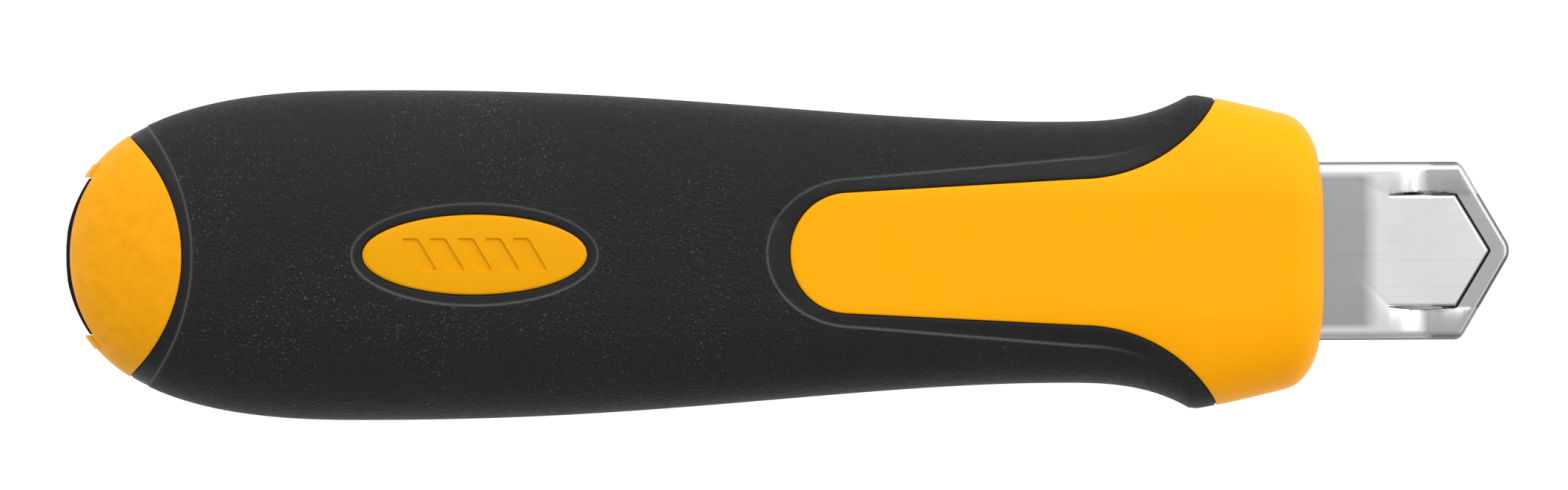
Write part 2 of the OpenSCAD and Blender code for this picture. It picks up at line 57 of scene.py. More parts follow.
GUARD_X = HANDLE_LEN - HEAD_LEN
NECK_X = GUARD_X - FLARE_LEN
PANEL_X = HANDLE_LEN - 83.3
PANEL_END_W, PANEL_NECK_W, FLARE_X, FLARE_R = 19.2, 23.2, HANDLE_LEN - 37.9, 24.7
PANEL_FLAT = 0.35
RUBBER_T, RUBBER_SET, BAND_DEPTH = 2.0, 0.03, 0.12
PANEL_BAND, OVAL_BAND, TAIL_BAND = 3.6, 1.6, 1.6
OVAL_X, OVAL_A, OVAL_B = 64.5, 17.6, 6.35
TAIL_WINDOW, TAIL_WINDOW_R = 18.7, 25.1
CAP_W, CAP_LEN, CAP_PROUD, CAP_END_R, CAP_BAND = 24.6, 12.0, 0.3, 21.5, 0.8
CHEEK_W, CHEEK_PROUD = 2.1, 0.32
COVER_FACE, COVER_RIM, SLOT_W = -11.0, 5.2, 21.2
CHANNEL_TOP, SHEET_T, BEND_R, LIP_GAP = 3.0, 1.0, 1.6, 12.0
CHANNEL_OUT, TIP_STEP, TONGUE_HALF = 29.9, 1.0, 8.8
SNAP_SLOPE = math.tan(math.radians(59))
GAP = 0.15        # between pieces that don't move on each other
PLAY = 0.05       # where one piece slides close to another
FAR = 40          # past everything, for cuts that go right through
SHARP_STEP = 0.12  # the width of a recess's wall, as a mesh slope

# The frame's place on the working axes, from the channel's box
TIP_X = HANDLE_LEN + CHANNEL_OUT
SHIFT_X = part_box("blade_channel")[1][0] / MM - TIP_X
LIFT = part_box("blade_channel")[1][2] / MM - CHANNEL_TOP


def put(x, y, z):
    """A working point in millimetres as a point of the frame."""
    return Vector(((x + SHIFT_X) * MM, y * MM, (z + LIFT) * MM))


def span(node):
    """The box of a CAD node on the working axes: (x0, x1), (y0, y1), (z0, z1)."""
    a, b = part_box(node)
    return ((a[0] / MM - SHIFT_X, b[0] / MM - SHIFT_X), (a[1] / MM, b[1] / MM),
            (a[2] / MM - LIFT, b[2] / MM - LIFT))


# --- the handle's outer form
def smooth(t):
    t = min(1.0, max(0.0, t))
    return t * t * (3 - 2 * t)


def step_at(d, width):
    """0 to 1 across a line, from half the width before it to half the width after."""
    return smooth(0.5 + d / width)


def dome(x):
    u = max(0.0, (BELLY_X - x) / BELLY_X)
    return max(0.0, 1 - u ** TAIL_POWER) ** (1 / TAIL_POWER)


def corner(x, length):
    s = min(1.0, max(0.0, (x - HANDLE_LEN + length) / length))
    return 1 - math.sqrt(1 - s * s)


def half_w(x):
    if x < BELLY_X:
        return BELLY_W / 2 * dome(x)
    if x < NECK_X:
        t = ((x - BELLY_X) / (NECK_X - BELLY_X)) ** NECK_LATE
        return BELLY_W / 2 - (BELLY_W - NECK_W) / 2 * smooth(t)
    if x < GUARD_X:
        return NECK_W / 2 + (GUARD_W - NECK_W) / 2 * ((x - NECK_X) / FLARE_LEN) ** 3
    t = (x - GUARD_X) / (HEAD_LEN - CORNER_LEN / 2)
    return GUARD_W / 2 - (GUARD_W - NOSE_W) / 2 * t ** HEAD_BULGE - CORNER_DEPTH * corner(x, CORNER_LEN)


def nose_drop(x):
    """The nose's rounded edge, which starts with a slight chamfer."""
    chamfer = CHAMFER_SLOPE * max(0.0, x - HANDLE_LEN + CHAMFER_LEN)
    return max(chamfer, 0.8 * NOSE_FILLET * corner(x, NOSE_FILLET))


def back_z(x):
    fall = (BELLY_H - HEAD_H) * smooth((x - BELLY_X) / (PANEL_X + 8 - BELLY_X))
    return BELLY_H * dome(x) - fall - nose_drop(x)


def front_z(x):
    return FRONT_H * dome(x) - nose_drop(x)


def power_of(x, back):
    if back:
        return 2.25 + 0.65 * smooth((x - BELLY_X) / (NECK_X - BELLY_X))
    return 2.5 + 0.7 * smooth(x / BELLY_X)


def travel_table(step=0.02):
    """Distance along the silhouette against x, so that mesh rows are even on the dome and the nose."""
    xs = np.append(np.arange(0.0, HANDLE_LEN, step), HANDLE_LEN)
    steps = [math.sqrt((b - a) ** 2 + 0.5 * (half_w(b) - half_w(a)) ** 2 + 0.5 * (back_z(b) - back_z(a)) ** 2)
             for a, b in zip(xs, xs[1:])]
    return np.append(0.0, np.cumsum(steps)), xs


TRAVEL_S, TRAVEL_X = travel_table()
SKIN_LEN = float(TRAVEL_S[-1])
RING_R = 20.0
RING_LEN = math.pi * RING_R


def x_at(s):
    return float(np.interp(s, TRAVEL_S, TRAVEL_X))


def s_at(x):
    return float(np.interp(x, TRAVEL_X, TRAVEL_S))


def skin_point(x, v, back, inset=0.0):
    """A point of the handle's skin: v runs from +y to -y, by way of the back or the front."""
    a = min(math.pi, max(0.0, v / RING_R))
    n = 2 / power_of(x, back)
    w = max(0.02, half_w(x) - inset)
    h = max(0.02, (back_z(x) if back else front_z(x)) - inset)
    c, s = math.cos(a), math.sin(a)
    y = w * math.copysign(abs(c) ** n, c)
    z = h * max(0.0, s) ** n
    if back and x > PANEL_X - 2:
        z = min(z, max(HEAD_H - PANEL_FLAT - inset - nose_drop(x), 0.02))
    return x, y, z if back else -z


def v_at(x, y, back):
    """The place round the ring whose plan is y; None where that is off the silhouette."""
    w = half_w(x)
    if abs(y) > w:
        return None
    a = math.acos((abs(y) / w) ** (power_of(x, back) / 2))
    return (a if y >= 0 else math.pi - a) * RING_R


# --- outlines in plan
def resample(points, step, closed=False):
    """The same line with every stretch cut into equal parts no longer than step; its corners stay."""
    pts = [Vector(p) for p in points]
    if closed:
        pts.append(pts[0])
    out = [pts[0]]
    for a, b in zip(pts, pts[1:]):
        n = max(1, math.ceil((b - a).length / step - 1e-6))
        out += [a + (b - a) * (i / n) for i in range(1, n + 1)]
    if closed:
        out.pop()
    return out


def relax(points, rounds, closed=False):
    pts = [p.copy() for p in points]
    n = len(pts)
    for _ in range(rounds):
        new = [p.copy() for p in pts]
        for i in range(n):
            if closed or 0 < i < n - 1:
                new[i] = pts[i] * 0.5 + (pts[i - 1] + pts[(i + 1) % n]) * 0.25
        pts = new
    return pts


class Outline:
    """A line in plan, with its inner side on its left, that a mesh follows at several distances."""

    def __init__(self, points, closed=False, rounds=0, step=0.4):
        self.closed = closed
        self.points = relax(resample(points, step, closed), rounds, closed)
        n = len(self.points)
        self.normals = []
        for i in range(n):
            a = self.points[(i - 1) % n] if closed or i else self.points[i]
            b = self.points[(i + 1) % n] if closed or i < n - 1 else self.points[i]
            t = (b - a).normalized()
            self.normals.append(Vector((-t.y, t.x)))
        self.tree = kdtree.KDTree(n)
        for i, p in enumerate(self.points):
            self.tree.insert((p.x, p.y, 0), i)
        self.tree.balance()

    def inside(self, x, y):
        """Signed distance, positive on the inner side."""
        _, i, _ = self.tree.find((x, y, 0))
        n = len(self.points)
        p = Vector((x, y))
        best = None
        for k in (i - 1, i):
            if not self.closed and not 0 <= k < n - 1:
                continue
            a, b = self.points[k % n], self.points[(k + 1) % n]
            ab = b - a
            t = (p - a).dot(ab) / ab.length_squared
            if 0 <= t <= 1 or not (self.closed or 0 < i < n - 1):
                d = (p - a - ab * min(1.0, max(0.0, t))).length
                side = ab.x * (p.y - a.y) - ab.y * (p.x - a.x)
            else:
                d = (p - self.points[i]).length
                side = (p - self.points[i]).dot(self.normals[i])
            if best is None or d < best[0]:
                best = (d, 1.0 if side >= 0 else -1.0)
        return best[0] * best[1]

    def shifted(self, d):
        return [p + n * d for p, n in zip(self.points, self.normals)]


def loop(points, step):
    return Outline(points, closed=True, step=step)


def arc(cx, cy, r, a0, a1, n):
    """Points on an arc, with its angles in degrees."""
    out = []
    for i in range(n + 1):
        a = math.radians(a0 + (a1 - a0) * i / n)
        out.append((cx + r * math.cos(a), cy + r * math.sin(a)))
    return out


def circle(cx, cy, r, n=48):
    return arc(cx, cy, r, 0, 360, n)[:-1]


def rectangle(x0, x1, half, r, n=6):
    """A rectangle with rounded corners, from x0 to x1 and half to both sides."""
    return (arc(x1 - r, half - r, r, 0, 90, n) + arc(x0 + r, half - r, r, 90, 180, n)
            + arc(x0 + r, r - half, r, 180, 270, n) + arc(x1 - r, r - half, r, 270, 360, n))


def panel_outline(border=0.0):
    round_len = 9 + 1.3 * border
    end_half = PANEL_END_W / 2 + 0.56 * border
    neck_half = PANEL_NECK_W / 2 + 0.86 * border
    r = FLARE_R + 1.28 * border
    end_x = PANEL_X - border + round_len
    side = [(end_x - round_len * x, end_half * y) for x, y in arc(0, 0, 1, 0, 90, 18)]
    side += arc(FLARE_X, neck_half + r, r, -90, -27, 21)
    side.append((HANDLE_LEN + 5, BELLY_W))
    return Outline(side[::-1] + [(x, -y) for x, y in side[1:]], rounds=6)


def tail_outline(border=0.0):
    r = TAIL_WINDOW_R + 4 * border
    return Outline(arc(TAIL_WINDOW + border - r, 0, r, -90, 90, 90))


def oval_outline(border=0.0):
    a, b = OVAL_A + border, OVAL_B + border
    return Outline([(OVAL_X + a * x, b * y) for x, y in circle(0, 0, 1, 120)], closed=True, rounds=2)


# A generic mark in the oval: slanted bars like blade segments
BARS, BAR_PITCH, BAR_WIDE, BAR_HALF, BAR_DEPTH = 5, 4.3, 2.5, 2.5, 0.35


def bar_outlines():
    out = []
    lean = BAR_HALF / SNAP_SLOPE
    for i in range(BARS):
        cx = OVAL_X + (i - (BARS - 1) / 2) * BAR_PITCH
        pts = [(cx - BAR_WIDE / 2 + lean, -BAR_HALF), (cx + BAR_WIDE / 2 + lean, -BAR_HALF),
               (cx + BAR_WIDE / 2 - lean, BAR_HALF), (cx - BAR_WIDE / 2 - lean, BAR_HALF)]
        out.append(Outline(pts, closed=True, rounds=1, step=0.25))
    return out


PANEL, TAIL, OVAL = panel_outline(), tail_outline(), oval_outline()
PANEL_EDGE, TAIL_EDGE, OVAL_EDGE = panel_outline(PANEL_BAND), tail_outline(TAIL_BAND), oval_outline(OVAL_BAND)
MARKS = bar_outlines()


def round_off(d, r):
    """How far a rounded edge of radius r lies under its face, d in from its wall."""
    if d >= r:
        return 0.0
    return r * (1 - math.sqrt(max(0.0, 1 - ((r - d) / r) ** 2)))


def window_depth(x, y, back):
    d = max(PANEL.inside(x, y), TAIL.inside(x, y))
    if back:
        d = max(d, OVAL.inside(x, y))
    return d


EDGE = 0.03
YELLOW_R, RUBBER_R = 0.5, 0.35
STEP_WIDE, RIDGE_WIDE, RIDGE_HIGH = 0.3, 0.16, 0.05


def core_depth(x, y, back):
    d = window_depth(x, y, back)
    if d < 0:
        return RUBBER_T + 0.3
    depth = round_off(d, YELLOW_R)
    if back and abs(x - OVAL_X) < OVAL_A and abs(y) < BAR_HALF + 1:
        mark = max(m.inside(x, y) for m in MARKS)
        depth += BAR_DEPTH * step_at(mark, 0.2)
    return depth


def band_at(x, y, back):
    """How far a point lies in the rubber's smooth bands, and on the fine ridge along their borders."""
    lines = [(TAIL_EDGE, 1.0)]
    if back:
        lines += [(PANEL_EDGE, 1 - smooth((x - 158) / 14)), (OVAL_EDGE, 1.0)]
    band = ridge = 0.0
    for line, weight in lines:
        at = line.inside(x, y)
        band = max(band, weight * step_at(at, STEP_WIDE))
        ridge = max(ridge, weight * math.exp(-(at / RIDGE_WIDE) ** 2))
    return band, ridge


def rubber_depth(x, y, back):
    d = -window_depth(x, y, back)
    band, ridge = band_at(x, y, back)
    return RUBBER_SET + round_off(max(0.0, d - EDGE), RUBBER_R) + BAND_DEPTH * band - RIDGE_HIGH * ridge


def grain_at(x, y, back):
    """1 where the rubber is textured, 0 on its smooth bands."""
    lines = [(TAIL_EDGE, 1.0)]
    if back:
        lines += [(PANEL_EDGE, 1 - smooth((x - 166) / 8)), (OVAL_EDGE, 1.0)]
    return 1 - max(step_at(line.inside(x, y) - 0.2, 0.4) * weight for line, weight in lines)


# --- the skin's mesh
WINDOW_OFFSETS = (-0.38, -0.22, -0.1, -EDGE, EDGE, 0.1, 0.2, 0.34, 0.53)
BAND_OFFSETS = (-0.3, -0.15, 0.0, 0.15, 0.3)
MARK_OFFSETS = (-0.1, 0.1)
GRID = 1.3


def lines_on(back):
    out = []
    for line, offsets in ((PANEL, WINDOW_OFFSETS), (TAIL, WINDOW_OFFSETS), (TAIL_EDGE, BAND_OFFSETS)):
        out += [(line.shifted(d), False) for d in offsets]
    if back:
        out += [(OVAL.shifted(d), True) for d in WINDOW_OFFSETS]
        out += [(PANEL_EDGE.shifted(d), False) for d in BAND_OFFSETS]
        out += [(OVAL_EDGE.shifted(d), True) for d in BAND_OFFSETS]
        for mark in MARKS:
            out += [(mark.shifted(d), True) for d in MARK_OFFSETS]
    return out


def border_between(test, a, b):
    """The last place where the test holds, on the way from b, where it does, to a, where it doesn't."""
    for _ in range(40):
        m = (a + b) / 2
        a, b = (a, m) if test(m) else (m, b)
    return b


def on_skin(points, closed, back):
    """A plan line as runs of (s, v) points, ended exactly on the silhouette."""
    runs, run = [], []
    last = None
    for p in points + (points[:1] if closed else []):
        x, y = p.x, p.y
        ok = 0 < x < HANDLE_LEN and abs(y) < half_w(x) - 1e-4
        if last is not None and ok != last[0]:
            ends = (last[1], p) if ok else (p, last[1])
            b = border_between(lambda m: 0 < m.x < HANDLE_LEN and abs(m.y) < half_w(m.x), *ends)
            run.append((s_at(b.x), 0.0 if b.y > 0 else RING_LEN))
            if not ok:
                runs.append(run)
                run = []
        if ok:
            run.append((s_at(x), v_at(x, y, back)))
        last = (ok, p)
    if len(run) > 1:
        runs.append(run)
    return runs


def thin_out(run, step):
    keep = [run[0]]
    for p in run[1:-1]:
        if math.dist(p, keep[-1]) >= step:
            keep.append(p)
    keep.append(run[-1])
    return keep


def tree_of(points):
    tree = kdtree.KDTree(max(1, len(points)))
    for i, p in enumerate(points):
        tree.insert((p[0], p[1], 0), i)
    tree.balance()
    return tree


def skin_mesh():
    """Triangles over both halves of the skin that follow every outline: vertices as (s, v, back)."""
    runs, ends = {}, []
    for back in (True, False):
        found = [r for points, closed in lines_on(back) for r in on_skin(points, closed, back)]
        runs[back] = [thin_out(r, 0.35) for r in found]
        ends += [p for r in runs[back] for p in (r[0], r[-1])]
    border = {v: sorted({round(p[0], 4) for p in ends if p[1] == v}) for v in (0.0, RING_LEN)}
    verts, faces = [], []
    rows, cols = int(SKIN_LEN / GRID), int(RING_LEN / GRID)
    for back in (True, False):
        points, edges = [], []
        for run in runs[back]:
            start = len(points)
            points += run
            edges += [(i, i + 1) for i in range(start, len(points) - 1)]
        tree = tree_of(points)
        for v in (0.0, RING_LEN):
            marks = border[v]
            line = marks + [SKIN_LEN * i / rows for i in range(rows + 1)
                            if not any(abs(SKIN_LEN * i / rows - m) < 0.3 for m in marks)]
            line.sort()
            start = len(points)
            points += [(s, v) for s in line]
            edges += [(i, i + 1) for i in range(start, len(points) - 1)]
        for i in range(rows + 1):
            for j in range(1, cols):
                offset = 0.5 * (i % 2) if 0 < i < rows else 0.0
                s, v = SKIN_LEN * i / rows, RING_LEN * (j + offset * (j < cols - 1)) / cols
                if tree.find((s, v, 0))[2] > 0.42:
                    points.append((s, v))
        out = geometry.delaunay_2d_cdt([Vector(p) for p in points], edges, [], 0, 1e-6)
        base = len(verts)
        verts += [(p.x, p.y, back) for p in out[0]]
        for f in out[2]:
            f = [base + i for i in f]
            faces.append(f if back else f[::-1])
    return verts, faces


SKIN_VERTS, SKIN_FACES = skin_mesh()
SKIN_XY = [skin_point(x_at(s), v, back)[:2] for s, v, back in SKIN_VERTS]


# --- mesh helpers
def add_object(name, data):
    obj = bpy.data.objects.new(name, data)
    bpy.context.scene.collection.objects.link(obj)
    return obj


def mesh_object(name, verts, faces):
    mesh = bpy.data.meshes.new(name)
    mesh.from_pydata([tuple(v) for v in verts], [], faces)
    return add_object(name, mesh)


def new_piece(name, verts, faces, body, node):
    """A visual piece that rides on a body and takes a node's place."""
    obj = mesh_object(name, verts, faces)
    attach(obj, body)
    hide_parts(node)
    return obj


@contextlib.contextmanager
def editing(obj):
    bm = bmesh.new()
    bm.from_mesh(obj.data)
    yield bm
    bm.to_mesh(obj.data)
    bm.free()


def tidy_mesh(bm, merge):
    bmesh.ops.remove_doubles(bm, verts=bm.verts, dist=merge)
    bmesh.ops.dissolve_degenerate(bm, edges=bm.edges, dist=1e-6)


def clean(obj, sharp=35.0):
    """Merges doubles, makes normals face out, and marks the edges that are sharper than that angle."""
    with editing(obj) as bm:
        tidy_mesh(bm, 1e-6)
        bmesh.ops.recalc_face_normals(bm, faces=bm.faces)
        for f in bm.faces:
            f.smooth = True
        for e in bm.edges:
            e.smooth = not (len(e.link_faces) == 2 and e.calc_face_angle(0) > math.radians(sharp))
    return obj


def cut(obj, tool, operation="DIFFERENCE"):
    """Boolean with a tool that is deleted afterwards."""
    mod = obj.modifiers.new("cut", "BOOLEAN")
    mod.operation = operation
    mod.object = tool
    mod.solver = "MANIFOLD"
    deps = bpy.context.evaluated_depsgraph_get()
    done = obj.evaluated_get(deps)
    mesh = bpy.data.meshes.new_from_object(done, preserve_all_data_layers=True, depsgraph=deps)
    obj.modifiers.clear()
    old = obj.data
    obj.data = mesh
    bpy.data.meshes.remove(old)
    mesh.name = obj.name
    bpy.data.objects.remove(tool)


def face_out(obj):
    with editing(obj) as bm:
        bmesh.ops.recalc_face_normals(bm, faces=bm.faces)
    return obj


def tool_object(verts, faces):
    return face_out(mesh_object("tool", verts, faces))


def prism(points, z0, z1):
    """A closed prism over a plan outline, as a boolean tool."""
    n = len(points)
    verts = [put(x, y, z0) for x, y in points] + [put(x, y, z1) for x, y in points]
    faces = [list(range(n))[::-1], list(range(n, 2 * n))]
    faces += [[i, (i + 1) % n, n + (i + 1) % n, n + i] for i in range(n)]
    return tool_object(verts, faces)


def block(x0, x1, half, z0, z1):
    return prism([(x0, -half), (x1, -half), (x1, half), (x0, half)], z0, z1)


def rings_mesh(rings, ends=False):
    """Quads between closed rings of points; without ends the last ring joins the first."""
    n, m = len(rings[0]), len(rings)
    verts = [p for ring in rings for p in ring]
    faces = []
    for j in range(m - 1 if ends else m):
        k = (j + 1) % m
        faces += [[j * n + i, j * n + (i + 1) % n, k * n + (i + 1) % n, k * n + i] for i in range(n)]
    if ends:
        faces += [list(range(n))[::-1], list(range((m - 1) * n, m * n))]
    return verts, faces


def faces_where(faces, places, test):
    """The faces whose middle passes test(face, x, y), renumbered, and the vertices that they use."""
    keep = [f for f in faces if test(f, *(sum(places[i][k] for i in f) / len(f) for k in (0, 1)))]
    used = sorted({i for f in keep for i in f})
    index = {i: k for k, i in enumerate(used)}
    return used, [[index[i] for i in f] for f in keep]


def plate_mesh(outer, top, base, place, holes=(), lines=(), offsets=(), grid=1.5):
    """A closed solid over a plan area: top and base give heights from (u, v, distance from the border)."""
    points, edges = [], []

    def follow(run, closed):
        start = len(points)
        points.extend((p[0], p[1]) for p in run)
        edges.extend((i, i + 1) for i in range(start, len(points) - 1))
        if closed:
            edges.append((len(points) - 1, start))

    def depth(u, v):
        return min([outer.inside(u, v)] + [-h.inside(u, v) for h in holes])

    for line, side in [(outer, 1)] + [(h, -1) for h in holes]:
        follow(line.points, True)
        for d in offsets:
            follow(line.shifted(side * d), True)
    for line, distances in lines:
        for d in distances:
            follow(line.shifted(d), line.closed)
    tree = tree_of(points)
    us, vs = [p.x for p in outer.points], [p.y for p in outer.points]
    rows, cols = math.ceil((max(us) - min(us)) / grid), math.ceil((max(vs) - min(vs)) / grid)
    for i in range(rows + 1):
        for j in range(cols + 1):
            u = min(us) + (i + 0.25 * (j % 2)) * grid
            v = min(vs) + j * grid
            if depth(u, v) > 0.4 * grid and tree.find((u, v, 0))[2] > 0.4 * grid:
                points.append((u, v))
    out = geometry.delaunay_2d_cdt([Vector(p) for p in points], edges, [], 0, 1e-5)
    verts = [(p.x, p.y) for p in out[0]]
    used, faces = faces_where(out[2], verts, lambda f, u, v: depth(u, v) > 0)
    n = len(used)
    upper, lower = [], []
    for i in used:
        u, v = verts[i]
        d = max(0.0, depth(u, v))
        upper.append(place(u, v, top(u, v, d)))
        lower.append(place(u, v, base(u, v, d)))
    sides = {edge: True for f in faces for edge in zip(f, f[1:] + f[:1])}
    walls = [[b, a, n + a, n + b] for a, b in sides if (b, a) not in sides]
    return upper + lower, faces + [[n + i for i in f[::-1]] for f in faces] + walls


def plate(name, body, node, *shape, **words):
    return clean(new_piece(name, *plate_mesh(*shape, **words), body, node))


def both_sides(outlines, wide=SHARP_STEP):
    """Mesh lines along both edges of a recess's wall."""
    return [(line, (-wide / 2, wide / 2)) for line in outlines]


def fillet_offsets(r):
    return tuple(r * k for k in (0.08, 0.25, 0.5, 0.75, 1.0, 1.2))


# --- the handle
def skin_solid(depth, shift=0.0):
    """The whole closed skin, lowered by depth(x, y, back), as vertices and faces ready for a piece."""
    bm = bmesh.new()
    verts = []
    for (s, v, back), (x, y) in zip(SKIN_VERTS, SKIN_XY):
        px, py, pz = skin_point(x, v, back, depth(x, y, back))
        verts.append(bm.verts.new(put(px + shift, py, pz)))
    for f in SKIN_FACES:
        bm.faces.new([verts[i] for i in f])
    tidy_mesh(bm, 2e-6)
    rim = [e for e in bm.edges if len(e.link_faces) == 1]
    nose_face(bm, bmesh.ops.edgeloop_fill(bm, edges=rim)["faces"])
    bmesh.ops.recalc_face_normals(bm, faces=bm.faces)
    bm.verts.index_update()
    out = [v.co.copy() for v in bm.verts], [[v.index for v in f.verts] for f in bm.faces]
    bm.free()
    return out


NOSE_RINGS = ((0.35, 0.14), (0.5, 0.12), (0.9, 0.1), (3.0, 0.12), (5.0, 0.05))


def nose_face(bm, faces):
    """Rounds the flat end of the nose over with rings of its own outline."""
    for face in faces:
        if face.calc_center_median().x < 0:
            continue
        for shrink, push in NOSE_RINGS:
            bmesh.ops.inset_region(bm, faces=[face], thickness=shrink * MM, depth=0.0)
            for v in face.verts:
                v.co.x += push * MM


def rounded_corners(points, r, corners, steps=6):
    """Replaces the named corners of a polygon by arcs of radius r."""
    out, n = [], len(points)
    for i, p in enumerate(points):
        if i not in corners:
            out.append(p)
            continue
        p = Vector(p)
        a = (Vector(points[i - 1]) - p).normalized()
        b = (Vector(points[(i + 1) % n]) - p).normalized()
        half = a.angle(b) / 2
        reach = r / math.tan(half)
        centre = p + (a + b).normalized() * (r / math.sin(half))
        start, end = p + a * reach - centre, p + b * reach - centre
        turn = start.angle_signed(end)
        for k in range(steps + 1):
            t = -turn * k / steps
            out.append(tuple(centre + Vector((start.x * math.cos(t) - start.y * math.sin(t),
                                              start.x * math.sin(t) + start.y * math.cos(t)))))
    return out


COVER_X0, COVER_X1 = CAP_LEN + 2 * GAP, HANDLE_LEN - 4.4
WELL_DEPTH, HEAD_SET, HEAD_THICK = 1.8, 0.3, 1.2
SLOT_END = COVER_X1 - 3.4


def cover_plan(clear=0.0):
    """The cover seen from below, with rounded corners; clear makes it that much larger."""
    n = 110
    xs = [COVER_X0 - clear + (COVER_X1 - COVER_X0 + 2 * clear) * i / n for i in range(n + 1)]
    keep = [x for x in xs[1:-1] if COVER_X0 + 3.6 < x < COVER_X1 - 4.2]
    side = [(x, half_w(x) - COVER_RIM + clear) for x in [xs[0]] + keep + [xs[-1]]]
    m = len(side)
    return rounded_corners(side[::-1] + [(x, -y) for x, y in side], 3.0, {0, m - 1, m, 2 * m - 1})


def cap_room():
    """What the core leaves out behind the cap's rounded end."""
    r, half = CAP_END_R + 1, CAP_W / 2 + GAP
    a = math.degrees(math.asin(half / r))
    return [(-5, half), (-5, -half)] + arc(CAP_BAND - CAP_PROUD + r, 0, r, 180 + a, 180 - a, 40)


def core_skin():
    core = new_piece("core_skin", *skin_solid(core_depth), "handle", "handle_core")
    half = CAP_W / 2 + GAP
    room = CHANNEL_TOP + GAP
    cut(core, block(CAP_LEN, HANDLE_LEN + 3, span("blade_channel")[1][1] + GAP, -room, room))
    cut(core, prism(cover_plan(GAP), -FAR, -CHANNEL_TOP))
    cut(core, block(-5, COVER_X0 + 4, half, -FAR, CHANNEL_TOP + 2 * GAP))
    cut(core, prism(cap_room(), -FAR, FAR))
    for side in (1, -1):
        # the cheek that stands out beside the cap
        cheek = tool_object(*skin_solid(lambda x, y, back: 0.0, -CHEEK_PROUD))
        y0, y1 = sorted((side * half, side * (half + CHEEK_W)))
        cut(cheek, prism([(-2, y0), (9, y0), (9, y1), (-2, y1)], -9, 4), "INTERSECT")
        cut(core, cheek, "UNION")
    return clean(core)


def rubber_shell():
    """The rubber as a closed shell with windows: its outside, its inside and the walls between."""
    used, faces = faces_where(SKIN_FACES, SKIN_XY,
                              lambda f, x, y: window_depth(x, y, SKIN_VERTS[f[0]][2]) < -EDGE - 1e-3)
    outer, inner, grain, ridge_highlights = [], [], [], []
    for i in used:
        s, v, back = SKIN_VERTS[i]
        x, y = SKIN_XY[i]
        outer.append(put(*skin_point(x, v, back, rubber_depth(x, y, back))))
        inner.append(put(*skin_point(x, v, back, RUBBER_T)))
        grain.append(grain_at(x, y, back))
        ridge_highlights.append(band_at(x, y, back)[1])
    obj = new_piece("rubber_skin", outer, faces, "handle", "rubber_grip")
    # the ridge weights carry the painted highlight along the bands' borders
    for key, values in (("grain", grain), ("ridge", ridge_highlights)):
        obj.data.attributes.new(key, "FLOAT", "POINT").data.foreach_set("value", values)
    with editing(obj) as bm:
        core = bm.verts.layers.float_vector.new("inside")
        for v, p in zip(bm.verts, inner):
            v[core] = p
        bmesh.ops.remove_doubles(bm, verts=bm.verts, dist=2e-6)
        rim = [e for e in bm.edges if len(e.link_faces) == 1]
        copy = bmesh.ops.duplicate(bm, geom=list(bm.faces))
        mirror = dict(copy["vert_map"].items())
        for v in [g for g in copy["geom"] if isinstance(g, bmesh.types.BMVert)]:
            v.co = v[core]
        bmesh.ops.reverse_faces(bm, faces=[g for g in copy["geom"] if isinstance(g, bmesh.types.BMFace)])
        for e in rim:
            a, b = e.verts
            order = list(e.link_faces[0].verts)
            if (order.index(a) + 1) % len(order) != order.index(b):
                a, b = b, a
            bm.faces.new([b, a, mirror[a], mirror[b]])
        bm.verts.layers.float_vector.remove(core)
        bmesh.ops.recalc_face_normals(bm, faces=bm.faces)
    return obj


def rubber_skin():
    rubber = rubber_shell()
    cut(rubber, prism(cover_plan(GAP), -FAR, -CHANNEL_TOP))
    return clean(rubber)


def screw_spots():
    """The centres of the cover's screws, and the radius of their heads."""
    (x0, x1), (_, y1), _ = span("cover_screws")
    r = 2.0
    return [(x, y) for x in (x0 + r, x1 - r) for y in (y1 - r, r - y1)], r


def front_form(x, y):
    """How far the handle's front lies below its middle at a place in plan."""
    n = power_of(x, False)
    return front_z(x) * max(0.0, 1 - (abs(y) / half_w(x)) ** n) ** (1 / n)


def cover_skin():
    """The slider side's cover: a U round the slider's slot, with its face following the handle's form."""
    ring = cover_plan()
    slot = SLOT_W / 2
    inner = [(COVER_X0, -slot)] + arc(SLOT_END - 1.5, 1.5 - slot, 1.5, -90, 0, 5)
    inner += arc(SLOT_END - 1.5, slot - 1.5, 1.5, 0, 90, 5) + [(COVER_X0, slot)]
    last = next(i for i, p in enumerate(ring) if p[1] < 0)
    first_end = [p for p in ring[:last] if p[0] > COVER_X0 - 1]
    outer = loop(first_end + inner[::-1] + ring[last:], 1.0)
    spots, r = screw_spots()
    wells = [loop(circle(x, y, r + GAP, 32), 0.6) for x, y in spots]
    line = loop(rectangle(COVER_X0 - 3, SLOT_END + 1.3, slot + 1.6, 2.5), 1.0)

    def face(x, y, d):
        z = min(-COVER_FACE, front_form(x, y))
        well = max(h.inside(x, y) for h in wells)
        z -= round_off(d, 0.5) + 0.25 * math.exp(-(line.inside(x, y) / 0.22) ** 2)
        return -(z - WELL_DEPTH * step_at(well, SHARP_STEP))

    return plate("cover_skin", "handle", "front_cover", outer, face, lambda x, y, d: -CHANNEL_TOP - PLAY, put,
                 offsets=fillet_offsets(0.5), grid=2.0,
                 lines=both_sides(wells) + [(line, (-0.4, -0.2, 0.0, 0.2, 0.4))])


